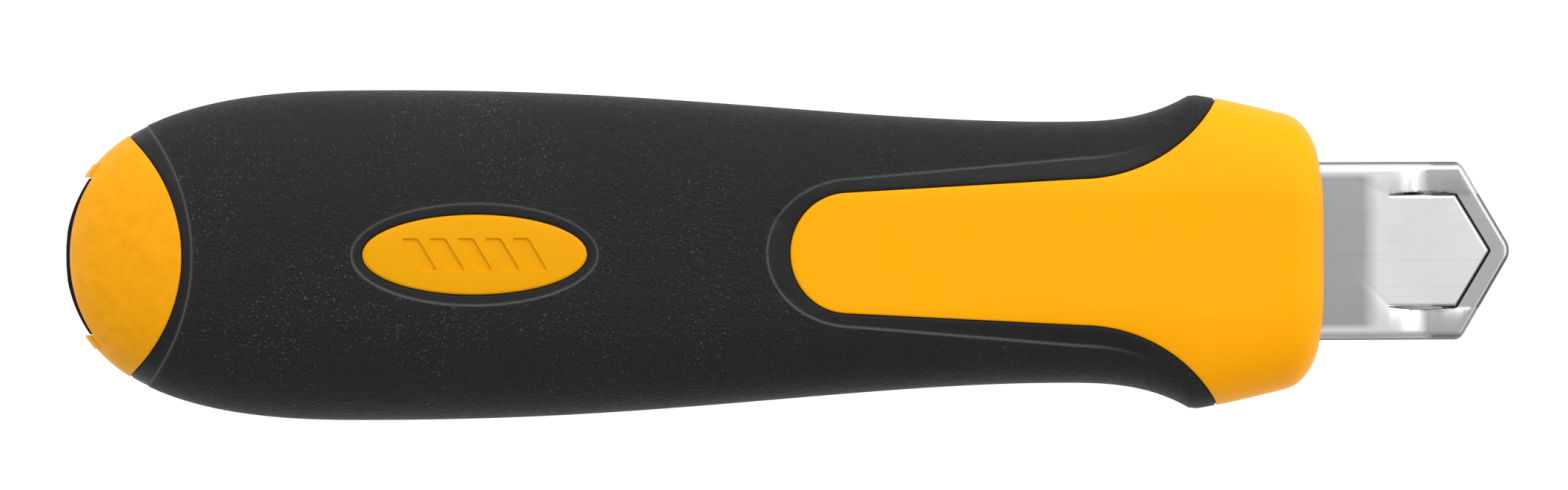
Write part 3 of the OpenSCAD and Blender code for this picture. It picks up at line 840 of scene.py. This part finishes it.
def screw(x, y, r, k, low_z, high_z):
    """One screw: a flat head with a cross recess, just under the cover's face, over a plain shank."""
    head_z = max(low_z, HEAD_SET - front_form(x, abs(y) + r))
    turn = math.radians(23 + 37 * k)
    across = (math.cos(turn), math.sin(turn))
    bars = [loop([(x + u * c - v * s, y + u * s + v * c) for u, v in
                  ((-1.15, -0.22), (1.15, -0.22), (1.15, 0.22), (-1.15, 0.22))], 0.3)
            for c, s in (across, (-across[1], across[0]))]

    def face(u, v, d):
        into = max(b.inside(u, v) for b in bars)
        return head_z + round_off(d, 0.25) + 0.7 * step_at(into, SHARP_STEP)

    head = plate_mesh(loop(circle(x, y, r, 40), 0.5), face, lambda u, v, d: head_z + HEAD_THICK, put,
                      offsets=fillet_offsets(0.25), grid=0.5, lines=both_sides(bars))
    shank = [[put(u, v, z) for u, v in circle(x, y, radius, 24)]
             for radius, z in ((1.1, head_z + 1.1), (1.1, high_z - 0.6), (0.7, high_z))]
    return head, rings_mesh(shank, ends=True)


def screw_heads():
    """The four cover screws."""
    spots, r = screw_spots()
    verts, faces = [], []
    for k, (x, y) in enumerate(spots):
        for part_verts, part_faces in screw(x, y, r, k, *span("cover_screws")[2]):
            faces += [[len(verts) + i for i in f] for f in part_faces]
            verts += part_verts
    return clean(new_piece("screw_set", verts, faces, "handle", "cover_screws"))


def cap_form(y, z):
    """Where the tail dome passes through (y, z)."""
    def full(x):
        w, h, n = half_w(x), (back_z(x) if z >= 0 else front_z(x)), power_of(x, z >= 0)
        return w > 1e-6 and h > 1e-6 and (abs(y) / w) ** n + (abs(z) / h) ** n <= 1

    return border_between(full, 0.0, BELLY_X)


def cap_skin():
    """The end cap, as a plate over (y, z) whose face follows the tail dome."""
    (_, x1), (_, half), (z0, z1) = span("end_cap")

    def box(u0, u1, middle, high, r, step):
        return loop([(u, v + middle) for u, v in rectangle(u0, u1, high, r)], step)

    outer = box(-half, half, (z0 + z1) / 2, (z1 - z0) / 2, 0.25, 0.6)
    slot = box(-9.5, 9.5, -3.5, 0.7, 0.3, 0.5)
    ribs = [box(a - 0.6, a + 0.6, -7.2, 2.2, 0.5, 0.5) for a in (-7.5, -5, -2.5, 0, 2.5, 5, 7.5)]

    def outside(u, v, d):
        x = max(cap_form(u, v), CAP_END_R - math.sqrt(CAP_END_R ** 2 - u * u)) - CAP_PROUD
        groove = max(r.inside(u, v) for r in ribs)
        cuts = 6.5 * step_at(slot.inside(u, v), SHARP_STEP) + 0.5 * step_at(groove, 0.3)
        return x + round_off(d, 0.3) + cuts

    return plate("cap_skin", "cap", "end_cap", outer, outside,
                 lambda u, v, d: x1, lambda u, v, h: put(h, u, v),
                 offsets=fillet_offsets(0.3), grid=0.9, lines=both_sides([slot]) + both_sides(ribs, 0.3))


# --- the channel
CHANNEL_HALF = span("blade_channel")[1][1]
TIP_CORNER_X = TIP_X + 0.6 - CHANNEL_HALF / SNAP_SLOPE
TONGUE_X = TIP_X - (CHANNEL_HALF - TONGUE_HALF) / 1.6
TONGUE_CORNER_X = TONGUE_X - TONGUE_HALF / SNAP_SLOPE
SLIT_LEN, RAMP_LEN, TORN = 10.4, 6.6, 0.22
RAMP_X0 = TONGUE_CORNER_X - SLIT_LEN
RAMP_X1 = RAMP_X0 + RAMP_LEN
PIN_PLACES, PIN_HOLE_R = (CAP_LEN + 33, HANDLE_LEN - 25), 1.52
LIP_RISE = CHANNEL_TOP - SHEET_T + span("blade")[2][0] - 0.1


def half_section(inner, drop, rise):
    """Half of the channel's section as (y, z): the back plate, the bends, the side and the lip."""
    top, low = CHANNEL_TOP - drop, rise - CHANNEL_TOP
    r = min(BEND_R, (top - low) / 2 - PLAY)
    ri, w, burr = r - SHEET_T, CHANNEL_HALF, 0.2
    return ([(inner, top - burr), (inner + 0.3 * burr, top - 0.3 * burr), (inner + burr, top)]
            + arc(w - r, top - r, r, 90, 0, 12) + arc(w - r, low + r, r, 0, -90, 12)
            + [(LIP_GAP / 2 + burr, low), (LIP_GAP / 2, low + burr), (LIP_GAP / 2, low + SHEET_T - burr),
               (LIP_GAP / 2 + burr, low + SHEET_T)]
            + arc(w - r, low + r, ri, -90, 0, 6) + arc(w - r, top - r, ri, 0, 90, 6)
            + [(inner, top - SHEET_T)])


def straight_channel():
    """The stretch with the plain section, from the core's rear to the ramps."""
    h = half_section(0, 0, 0)[2:-1]
    h[0] = (0.4, CHANNEL_TOP)
    section = h + [(-y, z) for y, z in h[::-1]]
    x0 = span("blade_channel")[0][0]
    n = 24
    xs = [x0 + (RAMP_X0 - x0) * i / n for i in range(n + 1)]
    return rings_mesh([[put(x, y, z) for y, z in section] for x in xs], ends=True)


def flank(side):
    """One side of the tip, which ramps down beside the tongue and leaves a lens-shaped slit."""
    rings = []
    n = 44
    for i in range(n + 1):
        x = RAMP_X0 - 0.4 + (TIP_X + 1 - RAMP_X0 + 0.4) * i / n
        t = (x - RAMP_X0) / (RAMP_X1 - RAMP_X0)
        u = min(1.0, max(0.0, (x - RAMP_X0) / (TONGUE_CORNER_X + 0.6 - RAMP_X0)))
        lens = math.sin(math.pi * u) if 0 < u < 1 else 0.0
        inner = TONGUE_HALF + 0.05 + 0.4 * lens
        ring = half_section(inner, TIP_STEP * smooth(t), LIP_RISE * smooth(1.4 * t - 0.4))
        torn = TORN * lens * lens * (0.5 + 0.5 * math.sin(23 * u) * math.sin(57 * u + 1))
        ring[:3] = [(y, z + torn * k) for (y, z), k in zip(ring[:3], (1.0, 1.0, 0.6))]
        rings.append([put(x, side * y, z) for y, z in ring])
    return tool_object(*rings_mesh(rings, ends=True))


def tongue_plan():
    x0, c, half = RAMP_X0 - 3, TONGUE_CORNER_X, TONGUE_HALF
    return [(x0, -half), (c, -half), (TONGUE_X, 0), (c, half), (x0, half)]


def tongue():
    """The raised pentagon, with a pressed bevel round its edge."""
    outer = loop(rounded_corners(tongue_plan(), 0.5, {1, 2, 3}, 4), 0.6)
    return tool_object(*plate_mesh(
        outer, lambda x, y, d: CHANNEL_TOP - round_off(d, 0.55), lambda x, y, d: CHANNEL_TOP - SHEET_T, put,
        offsets=fillet_offsets(0.55), grid=2.0))


def band():
    """The pressed band in front of the tongue, with a crease along the tongue's foot."""
    c = TONGUE_CORNER_X - 0.5
    reach = TONGUE_HALF + 1
    foot = loop(tongue_plan(), 0.5)
    outer = loop([(c, -reach), (TIP_X + 1, -reach), (TIP_X + 1, reach), (c, reach), (c, TONGUE_HALF),
                  (TONGUE_X - 1.15, 0), (c, -TONGUE_HALF)], 0.6)
    top = CHANNEL_TOP - TIP_STEP

    def face(x, y, d):
        return top - 0.005 - 0.4 * math.exp(-((foot.inside(x, y) + 0.12) / 0.12) ** 2)

    return tool_object(*plate_mesh(outer, face, lambda x, y, d: top - SHEET_T + 0.005, put, grid=1.2,
                                   lines=[(foot, (-0.36, -0.24, -0.12, 0.0))]))


def tip_plan():
    """The tip seen from above: 59 degree edges, a blunt point and rounded outer corners."""
    wide = CHANNEL_HALF + 3
    corner_x = TIP_CORNER_X - 1.1
    slope = math.degrees(math.atan(SNAP_SLOPE))
    half = (arc(TIP_X - 3, 0, 3, 0, 90 - slope, 5)
            + arc(corner_x, CHANNEL_HALF - 1.93, 2, 90 - slope, 90, 6) + [(corner_x, wide), (0, wide)])
    return [(x, -y) for x, y in half[:0:-1]] + half


def tip_trim():
    """What the tip is cut to: its plan, with the top edge rounded over."""
    outer = loop(tip_plan(), 0.6)
    edge = CHANNEL_TOP - TIP_STEP

    def ceiling(x, y, d):
        return edge - 0.65 * round_off(d, 1.1) if d < 1.15 else edge + 10

    return tool_object(*plate_mesh(outer, ceiling, lambda x, y, d: -20, put, grid=4.0,
                                   offsets=(0.05, 0.15, 0.3, 0.5, 0.7, 0.9, 1.1, 1.14, 1.2)))


def channel_skin():
    obj = face_out(new_piece("channel_skin", *straight_channel(), "handle", "blade_channel"))
    for part in (flank(1), flank(-1), tongue(), band()):
        cut(obj, part, "UNION")
    cut(obj, tip_trim(), "INTERSECT")
    for x in PIN_PLACES:
        cut(obj, prism(circle(x, 0, PIN_HOLE_R, 32), 0, 20))
    return clean(obj, sharp=30)


# --- the slider, the wheel and the blade
BOLT_X = sum(span("lock_wheel")[0]) / 2


def slider_skin():
    """The slider's block in the cover's slot, with its neck between the channel's lips."""
    (x0, x1), (_, half), (z0, z1) = span("slider_body")
    (pad_x0, pad_x1), (_, pad_half), _ = span("thumb_pad")
    pad = loop(rectangle(pad_x0 - PLAY, pad_x1 + PLAY, pad_half + PLAY, 0.3), 0.8)
    bore = circle(BOLT_X, 0, 2.55, 40)
    outer = loop(rectangle(x0, x1, half, 1.2), 0.8)

    def face(x, y, d):
        return z0 + round_off(outer.inside(x, y), 0.45) + 1.2 * step_at(pad.inside(x, y), SHARP_STEP)

    obj = plate("slider_skin", "slider", "slider_body", outer, face, lambda x, y, d: -CHANNEL_TOP - PLAY, put,
                holes=[loop(bore, 0.6)], offsets=fillet_offsets(0.45), grid=1.6, lines=both_sides([pad]))
    tab = span("carrier_plate")[0][0]
    cut(obj, prism(rectangle(tab - 2, x1 - 1, LIP_GAP / 2 - 0.1, 0.8), -CHANNEL_TOP - 1, z1), "UNION")
    cut(obj, prism(bore, -20, 5))
    cut(obj, block(tab - 0.1, tab + 1.1, LIP_GAP / 2 - 0.9, -CHANNEL_TOP - 4.2, 1))
    return clean(obj)


def pad_skin():
    """The ribbed thumb pad."""
    (x0, x1), (_, half), (z0, z1) = span("thumb_pad")
    ribs, end, high = 6, 0.8, 0.7
    pitch = (x1 - x0 - 2 * end) / ribs
    outer = loop(rectangle(x0, x1, half, 0.8), 0.6)

    def face(x, y, d):
        wave = 0.5 - 0.5 * math.cos(2 * math.pi * (x - x0 - end) / pitch)
        return z0 + 0.75 + high * round_off(d, 0.5) - high * smooth(d / 1.2) * wave ** 0.6

    return plate("pad_skin", "slider", "thumb_pad", outer, face, lambda x, y, d: z1, put,
                 offsets=fillet_offsets(0.5), grid=0.38)


WHEEL_GRIPS = 18


def wheel_rim(a, r):
    """The wheel's outline at an angle: the rim, cut by round grips."""
    pitch = 2 * math.pi / WHEEL_GRIPS
    off = (a + pitch / 2) % pitch - pitch / 2
    c, grip = r + 0.55, 1.25
    across = c * math.sin(off)
    if abs(across) >= grip:
        return r
    return min(r, c * math.cos(off) - math.sqrt(grip ** 2 - across ** 2))


def radius_of(node):
    x0, x1 = span(node)[0]
    return (x1 - x0) / 2


def wheel_skin():
    z0, z1 = span("lock_wheel")[2]
    r, disc, bore = radius_of("lock_wheel"), radius_of("wheel_cap"), radius_of("wheel_insert") + 0.01
    seat = span("wheel_cap")[2][1] + PLAY
    # each ring: its radius, how much of the grips' outline it has, and its height
    profile = [(bore, 0, z1), (6.6, 0, z1), (6.6, 0, z1 - 0.9), (10.4, 0, z1 - 0.9), (10.4, 0, z1),
               (r - 0.9, 0.6, z1), (r - 0.45, 1, z1 - 0.03), (r - 0.15, 1, z1 - 0.15), (r, 1, z1 - 0.45),
               (r, 1, z0 + 1.3), (r - 0.05, 1, z0 + 0.85), (r - 0.25, 1, z0 + 0.4), (r - 0.6, 1, z0 + 0.12),
               (r - 1.1, 0.9, z0), (r - 1.7, 0.2, z0), (r - 2.1, 0, z0 + 0.06), (r - 2.4, 0, z0 + 0.3),
               (disc + 0.9, 0, z0 + 0.3), (disc + 0.65, 0, z0 + 0.1), (disc + 0.3, 0, z0 + 0.1),
               (disc + PLAY, 0, z0 + 0.25), (disc + PLAY, 0, seat), (bore, 0, seat)]
    n = WHEEL_GRIPS * 16
    rings = []
    for radius, share, z in profile:
        ring = []
        for i in range(n):
            a = 2 * math.pi * i / n
            rr = radius + share * (wheel_rim(a, r) - r)
            ring.append(put(BOLT_X + rr * math.cos(a), rr * math.sin(a), z))
        rings.append(ring)
    return clean(new_piece("wheel_skin", *rings_mesh(rings), "wheel", "lock_wheel"))


def wheel_disc():
    """The wheel's yellow cap, crowned, with a debossed turning arrow."""
    z0, z1 = span("wheel_cap")[2]
    r = radius_of("wheel_cap")
    outer = loop(circle(BOLT_X, 0, r, 72), 0.8)
    band_r, band_half = 5.0, 0.55
    bow = arc(BOLT_X, 0, band_r + band_half, 20, 140, 24) + arc(BOLT_X, 0, band_r - band_half, 140, 20, 24)
    a = math.radians(140)
    head = [(BOLT_X + q * math.cos(b), q * math.sin(b))
            for q, b in ((band_r + 1.5, a - 0.03), (band_r, a + 0.42), (band_r - 1.5, a - 0.03))]
    marks = [loop(bow, 0.5), loop(head, 0.4),
             loop(circle(BOLT_X, 0, 1.6, 32), 0.4)]

    def face(x, y, d):
        q = math.hypot(x - BOLT_X, y) / r
        into = max(m.inside(x, y) for m in marks)
        return z0 - 0.12 * (1 - q * q) + round_off(d, 0.3) + 0.3 * step_at(into, 0.16)

    return plate("wheel_disc", "wheel", "wheel_cap", outer, face, lambda x, y, d: z1, put,
                 offsets=fillet_offsets(0.3), grid=0.9, lines=both_sides(marks, 0.16))


SEGMENTS, SEGMENT_PITCH, GRIND = 7, 15.2, 2.6


def blade_skin():
    """The blade: ground on both faces along its edge, with score lines between its segments."""
    (x0, x1), (y0, y1), (z0, z1) = span("blade")
    lean = (y1 - y0) / SNAP_SLOPE
    outer = loop([(x0, y0), (x1, y0), (x1 - lean, y1), (x0, y1)], 1.5)
    hole = loop(circle(sum(span("blade_pin")[0]) / 2, 0, 3.0, 40), 0.6)
    scores = []
    for i in range(1, SEGMENTS):
        x = x1 - i * SEGMENT_PITCH
        scores.append(Outline([(x, y0 - 1), (x - lean * 27 / 25, y1 + 1)], step=1.5))
    middle = (z0 + z1) / 2
    grind = Outline([(x0 - 1, y0 + GRIND), (x1 + 1, y0 + GRIND)], step=2.0)

    def thick(y):
        return min(1.0, max(0.04, (y - y0) / GRIND))

    def lower(x, y, d):
        score = min(abs(s.inside(x, y)) for s in scores)
        return middle + (z0 - middle) * thick(y) + 0.16 * max(0.0, 1 - score / 0.2)

    def upper(x, y, d):
        return middle + (z1 - middle) * thick(y)

    return plate("blade_skin", "slider", "blade", outer, lower, upper, put, holes=[hole], grid=3.0,
                 lines=[(s, (-0.2, 0.0, 0.2)) for s in scores] + [(grind, (0.0,))])


# --- materials
def wire(tree, sockets, values):
    """Gives input sockets their values, each a plain value, a colour or another node's output."""
    for key, value in values.items():
        socket = sockets[key]
        if isinstance(value, bpy.types.NodeSocket):
            tree.links.new(value, socket)
        else:
            socket.default_value = (*value, 1) if socket.type == "RGBA" else value


def node(tree, kind, out, values, **settings):
    n = tree.nodes.new("ShaderNode" + kind)
    for key, value in settings.items():
        setattr(n, key, value)
    wire(tree, n.inputs, values)
    return n.outputs[out]


def material(name, colour, rough, metallic=0.0, specular=0.5):
    mat = bpy.data.materials.new(name)
    mat.use_nodes = True
    inputs = mat.node_tree.nodes["Principled BSDF"].inputs
    wire(mat.node_tree, inputs, {"Base Color": colour, "Roughness": rough, "Metallic": metallic,
                                 "Specular IOR Level": specular})
    return mat, mat.node_tree, inputs


def where(tree, scale=(1, 1, 1)):
    at = node(tree, "TexCoord", "Object", {})
    return node(tree, "Mapping", "Vector", {"Vector": at, "Scale": scale})


def axis(tree, name):
    """One coordinate of the surface, in the frame's metres."""
    return node(tree, "SeparateXYZ", name, {"Vector": where(tree)})


def noise(tree, vector, scale, detail=3.0, rough=0.5):
    return node(tree, "TexNoise", "Fac",
                {"Vector": vector, "Scale": scale, "Detail": detail, "Roughness": rough})


def remap(tree, value, a, b, low=0.0, high=1.0):
    return node(tree, "MapRange", "Result",
                {"Value": value, "From Min": low, "From Max": high, "To Min": a, "To Max": b})


def math_node(tree, operation, a, b):
    return node(tree, "Math", 0, {0: a, 1: b}, operation=operation)


def times(tree, a, b):
    return math_node(tree, "MULTIPLY", a, b)


def bump(tree, height, strength, distance):
    return node(tree, "Bump", "Normal", {"Height": height, "Strength": strength, "Distance": distance})


MIX_FACTOR, MIX_A, MIX_B, MIX_RESULT = 0, 6, 7, 2  # the Mix node's sockets for colours


def mix_colour(tree, factor, a, b):
    return node(tree, "Mix", MIX_RESULT, {MIX_FACTOR: factor, MIX_A: a, MIX_B: b}, data_type="RGBA")


def attribute(tree, name):
    return node(tree, "Attribute", "Fac", {}, attribute_name=name)


def yellow_plastic():
    """Moulded plastic; behind the back panel it is duller and cloudy."""
    mat, tree, inputs = material("yellow_plastic", (0.92, 0.37, 0.0), 0.45, specular=0.1)
    at, x = where(tree), axis(tree, "X")
    clear = mix_colour(tree, noise(tree, at, 38, 2), (0.9, 0.36, 0.0), (0.95, 0.38, 0.0))
    clouds = remap(tree, noise(tree, at, 420, 4, 0.65), 0, 1, 0.35, 0.65)
    cloudy = mix_colour(tree, clouds, (0.77, 0.325, 0.0), (0.86, 0.355, 0.004))
    stops = [(a + SHIFT_X) * MM for a in (TAIL_WINDOW, OVAL_X - OVAL_A, OVAL_X + OVAL_A, PANEL_X)]
    worn = mix_colour(tree, remap(tree, x, 0, 1, *stops[:2]), cloudy, (0.74, 0.325, 0.0))
    wire(tree, inputs, {
        "Base Color": mix_colour(tree, remap(tree, x, 0, 1, *stops[2:]), worn, clear),
        "Roughness": remap(tree, noise(tree, at, 260, 3), 0.38, 0.52),
        "Normal": bump(tree, noise(tree, at, 2600, 2, 0.6), 0.3, 0.00008)})
    return mat


def grip_rubber():
    """Matt black rubber: textured, with sparse light specks that are painted glints, smooth on its bands,
    with a painted highlight on their ridges.
    """
    mat, tree, inputs = material("grip_rubber", (0.0095, 0.0095, 0.0093), 0.6, specular=0.2)
    at, mask = where(tree), attribute(tree, "grain")
    body = mix_colour(tree, noise(tree, at, 30, 3), (0.0078, 0.0078, 0.0077), (0.0112, 0.0112, 0.011))
    tail_x = (HANDLE_LEN / 3 + SHIFT_X) * MM
    # painted glints: sparse light specks mixed into the base colour, half as many past the tail third
    glint_patches = times(tree, remap(tree, noise(tree, at, 55, 2), 0.25, 1.0, 0.4, 0.62),
                    remap(tree, axis(tree, "X"), 1.0, 0.5, tail_x, tail_x + 0.06))
    painted_glints = times(tree, remap(tree, noise(tree, at, 2700, 1), 0, 1, 0.64, 0.74), glint_patches)
    body = mix_colour(tree, times(tree, painted_glints, mask), body, (0.085, 0.085, 0.083))
    textured = remap(tree, noise(tree, at, 900, 2), 0.5, 0.72)
    lumps = times(tree, remap(tree, noise(tree, at, 2300, 2, 0.6), 0, 1, 0.35, 0.7), mask)
    wire(tree, inputs, {
        # painted highlight: the fine ridges along the bands' borders are lightened in the base colour
        "Base Color": mix_colour(tree, attribute(tree, "ridge"), body, (0.075, 0.078, 0.08)),
        "Roughness": math_node(tree, "SUBTRACT", textured, remap(tree, mask, 0.12, 0.0)),
        "Normal": bump(tree, lumps, 0.8, 0.00016)})
    return mat


def black_plastic(name, specular):
    mat, tree, inputs = material(name, (0.012, 0.012, 0.0125), 0.45, specular=specular)
    at = where(tree)
    wire(tree, inputs, {
        "Base Color": mix_colour(tree, noise(tree, at, 45, 3),
                                 (0.011, 0.011, 0.0115), (0.019, 0.019, 0.0195)),
        "Roughness": remap(tree, noise(tree, at, 400, 3), 0.38, 0.56),
        "Normal": bump(tree, noise(tree, at, 2400, 2), 0.3, 0.00008)})
    return mat


def steel(name, colour, rough, streak=0.06):
    """Sheet steel with rolling lines along it, smudges and fine scratches."""
    mat, tree, inputs = material(name, colour, rough, metallic=1.0)
    lines = noise(tree, where(tree, (60, 2600, 2600)), 1.0, 3, 0.6)
    smudge = noise(tree, where(tree), 120, 4, 0.6)
    scratch = remap(tree, noise(tree, where(tree, (25, 1100, 1100)), 1.0, 1, 0.5), 0, 1, 0.66, 0.72)
    tone = mix_colour(tree, smudge, tuple(c * 0.88 for c in colour), colour)
    tone = mix_colour(tree, times(tree, scratch, 0.12), tone, tuple(c * 0.6 for c in colour))
    wire(tree, inputs, {
        "Base Color": tone,
        "Roughness": math_node(tree, "ADD", remap(tree, smudge, rough - 0.04, rough + 0.08),
                               remap(tree, lines, -streak, streak)),
        "Normal": bump(tree, lines, 0.12, 0.00002)})
    return mat, tree, inputs, tone


def channel_steel():
    """The channel's sheet: a painted grey reflection near the nose, painted shade on its lower parts, in the
    crease at the tongue's foot and along its outer edges, a painted darker reflection on the tongue's bevel,
    darker grey on the pressed band, and brown in the torn slits.
    """
    mat, tree, inputs, tone = steel("channel_steel", (0.94, 0.94, 0.95), 0.22)
    x, z = axis(tree, "X"), axis(tree, "Z")
    side = math_node(tree, "ABSOLUTE", axis(tree, "Y"), 0)

    def above(value, at, soft):
        return remap(tree, value, 0, 1, at * MM - soft * MM, at * MM + soft * MM)

    def below(value, at, soft):
        return math_node(tree, "SUBTRACT", 1.0, above(value, at, soft))

    def all_of(*masks):
        mask = masks[0]
        for other in masks[1:]:
            mask = times(tree, mask, other)
        return mask

    nose, ramp0, ramp1 = HANDLE_LEN + SHIFT_X, RAMP_X0 + SHIFT_X, RAMP_X1 + SHIFT_X
    step = CHANNEL_TOP - TIP_STEP + LIFT
    drift = remap(tree, noise(tree, where(tree), 260, 3, 0.6), -0.0004, 0.0004)
    front = above(x, ramp1, 0.5)
    within = times(tree, front, below(side, TONGUE_HALF + 0.15, 0.1))
    torn = remap(tree, noise(tree, where(tree), 2200, 2), 0.2, 1.0, 0.4, 0.6)
    # each zone: where it is, how strongly it is tinted, and with what
    zones = (
        # a painted reflection: the flat sheet near the nose painted grey where it mirrors the darker studio
        (all_of(below(math_node(tree, "ADD", x, drift), nose + 8, 1.3), below(side, 11.9, 0.5)),
         0.78, (0.33, 0.325, 0.32)),
        # painted shade on what lies lower than the pressed band
        (all_of(front, below(z, step - 0.1, 0.06)), 0.85, (0.3, 0.3, 0.3)),
        # a painted darker reflection on the tongue's bevel
        (all_of(within, all_of(above(z, step + 0.12, 0.08), below(z, step + TIP_STEP - 0.06, 0.05))),
         0.9, (0.24, 0.24, 0.24)),
        # painted shade in the crease at the tongue's foot
        (all_of(within, below(z, step - 0.12, 0.06)), 0.85, (0.12, 0.115, 0.11)),
        # the pressed band
        (all_of(above(x, ramp1 - 1, 0.5), below(z, step + 0.25, 0.1), above(z, step - 0.12, 0.06)),
         0.8, (0.42, 0.415, 0.42)),
        # a painted dark reflection along the outer edges of the bends
        (all_of(above(side, CHANNEL_HALF - 0.48, 0.14), below(x, TIP_CORNER_X + SHIFT_X, 1.0)),
         0.85, (0.16, 0.16, 0.155)),
        # the torn slits
        (all_of(above(side, TONGUE_HALF - 0.05, 0.05), below(side, TONGUE_HALF + 0.55, 0.35),
                all_of(above(x, ramp0 + 0.8, 1.0), below(x, TONGUE_CORNER_X - 0.5 + SHIFT_X, 1.0)), torn),
         0.9, (0.17, 0.125, 0.09)))
    for mask, strength, colour in zones:
        tone = mix_colour(tree, times(tree, mask, strength), tone, colour)
    wire(tree, inputs, {"Base Color": tone, "Specular Tint": (0.35, 0.35, 0.35)})
    return mat


def brass_metal():
    mat, tree, inputs = material("turned_brass", (0.78, 0.56, 0.24), 0.28, metallic=1.0)
    rings = noise(tree, where(tree), 700, 4)
    wire(tree, inputs, {"Roughness": remap(tree, rings, 0.2, 0.4), "Normal": bump(tree, rings, 0.2, 0.00003)})
    return mat


YELLOW = yellow_plastic()
RUBBER = grip_rubber()
BLACK = black_plastic("black_plastic", 0.14)
MATT_BLACK = black_plastic("matt_black_plastic", 0.02)
CHANNEL = channel_steel()
STAINLESS = steel("stainless_sheet", (0.80, 0.80, 0.81), 0.2)[0]
BLADE_STEEL = steel("blade_steel", (0.72, 0.72, 0.74), 0.24, 0.1)[0]
DARK_STEEL = steel("plated_steel", (0.46, 0.47, 0.48), 0.32)[0]
BRASS = brass_metal()


def dress(obj, mat):
    obj.data.materials.clear()
    obj.data.materials.append(mat)


for make, mat in ((core_skin, YELLOW), (rubber_skin, RUBBER), (cover_skin, YELLOW), (screw_heads, DARK_STEEL),
                  (cap_skin, MATT_BLACK), (channel_skin, CHANNEL), (slider_skin, BLACK), (pad_skin, RUBBER),
                  (wheel_skin, BLACK), (wheel_disc, YELLOW), (blade_skin, BLADE_STEEL)):
    dress(make(), mat)

# the CAD nodes' slots, which the pieces share
for mat, nodes in ((YELLOW, "handle_core front_cover wheel_cap"), (RUBBER, "rubber_grip"),
                   (BLACK, "slider_body thumb_pad lock_wheel"), (MATT_BLACK, "end_cap"),
                   (STAINLESS, "blade_channel clamp_stud ratchet_spring thrust_washer"),
                   (BLADE_STEEL, "blade"), (BRASS, "wheel_insert"),
                   (DARK_STEEL, "cover_screws channel_pins carrier_plate blade_pin clamp_plate stud_clip")):
    for name in nodes.split():
        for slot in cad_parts[name].material_slots:
            slot.material = mat

# --- floor, lights and camera
FRAME_WIDE = 0.2466
CAMERA_AT = Vector((-0.00054, 0.00132, 0.0))
CAMERA_UP = 1.4
ROLL = math.radians(-0.24)
LIGHTS_AIM = Vector((0, 0, 0.02))


def floor():
    size = 1.5
    corners = [(-size, -size, 0), (size, -size, 0), (size, size, 0), (-size, size, 0)]
    obj = mesh_object("floor", corners, [(0, 1, 2, 3)])
    mat, tree, inputs = material("floor_paper", (0.35, 0.35, 0.35), 0.9, specular=0.0)
    wire(tree, inputs, {"Emission Color": (1, 1, 1), "Emission Strength": 0.88})
    dress(obj, mat)


def area_light(name, at, wide, high, power):
    light = bpy.data.lights.new(name, "AREA")
    light.shape = "RECTANGLE"
    light.size, light.size_y, light.energy = wide, high, power
    obj = add_object(name, light)
    obj.location = at
    obj.rotation_euler = (LIGHTS_AIM - Vector(at)).to_track_quat("-Z", "Y").to_euler()


def camera():
    data = bpy.data.cameras.new("camera")
    obj = add_object("camera", data)
    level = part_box("blade_channel")[1][2]
    obj.location = CAMERA_AT + Vector((0, 0, level + CAMERA_UP))
    obj.rotation_euler = Euler((0, 0, ROLL))
    data.sensor_width = 36
    data.lens = 36 * CAMERA_UP / FRAME_WIDE
    data.clip_start, data.clip_end = 0.01, 20
    bpy.context.scene.camera = obj


def surroundings():
    """A soft white studio, brighter towards the handle's +Y side."""
    world = bpy.data.worlds.new("studio")
    world.use_nodes = True
    tree = world.node_tree
    across = node(tree, "SeparateXYZ", "Y", {"Vector": node(tree, "TexCoord", "Generated", {})})
    wire(tree, tree.nodes["Background"].inputs,
         {"Color": (1, 1, 1), "Strength": remap(tree, across, 0.38, 1.15, -0.9, 0.9)})
    bpy.context.scene.world = world
    bpy.context.scene.view_settings.view_transform = "Standard"
    area_light("key", (0.0, 0.75, 0.85), 1.6, 1.0, 7.5)
    area_light("side", (0.9, 0.15, 0.6), 1.0, 1.0, 3.5)


floor()
surroundings()
camera()
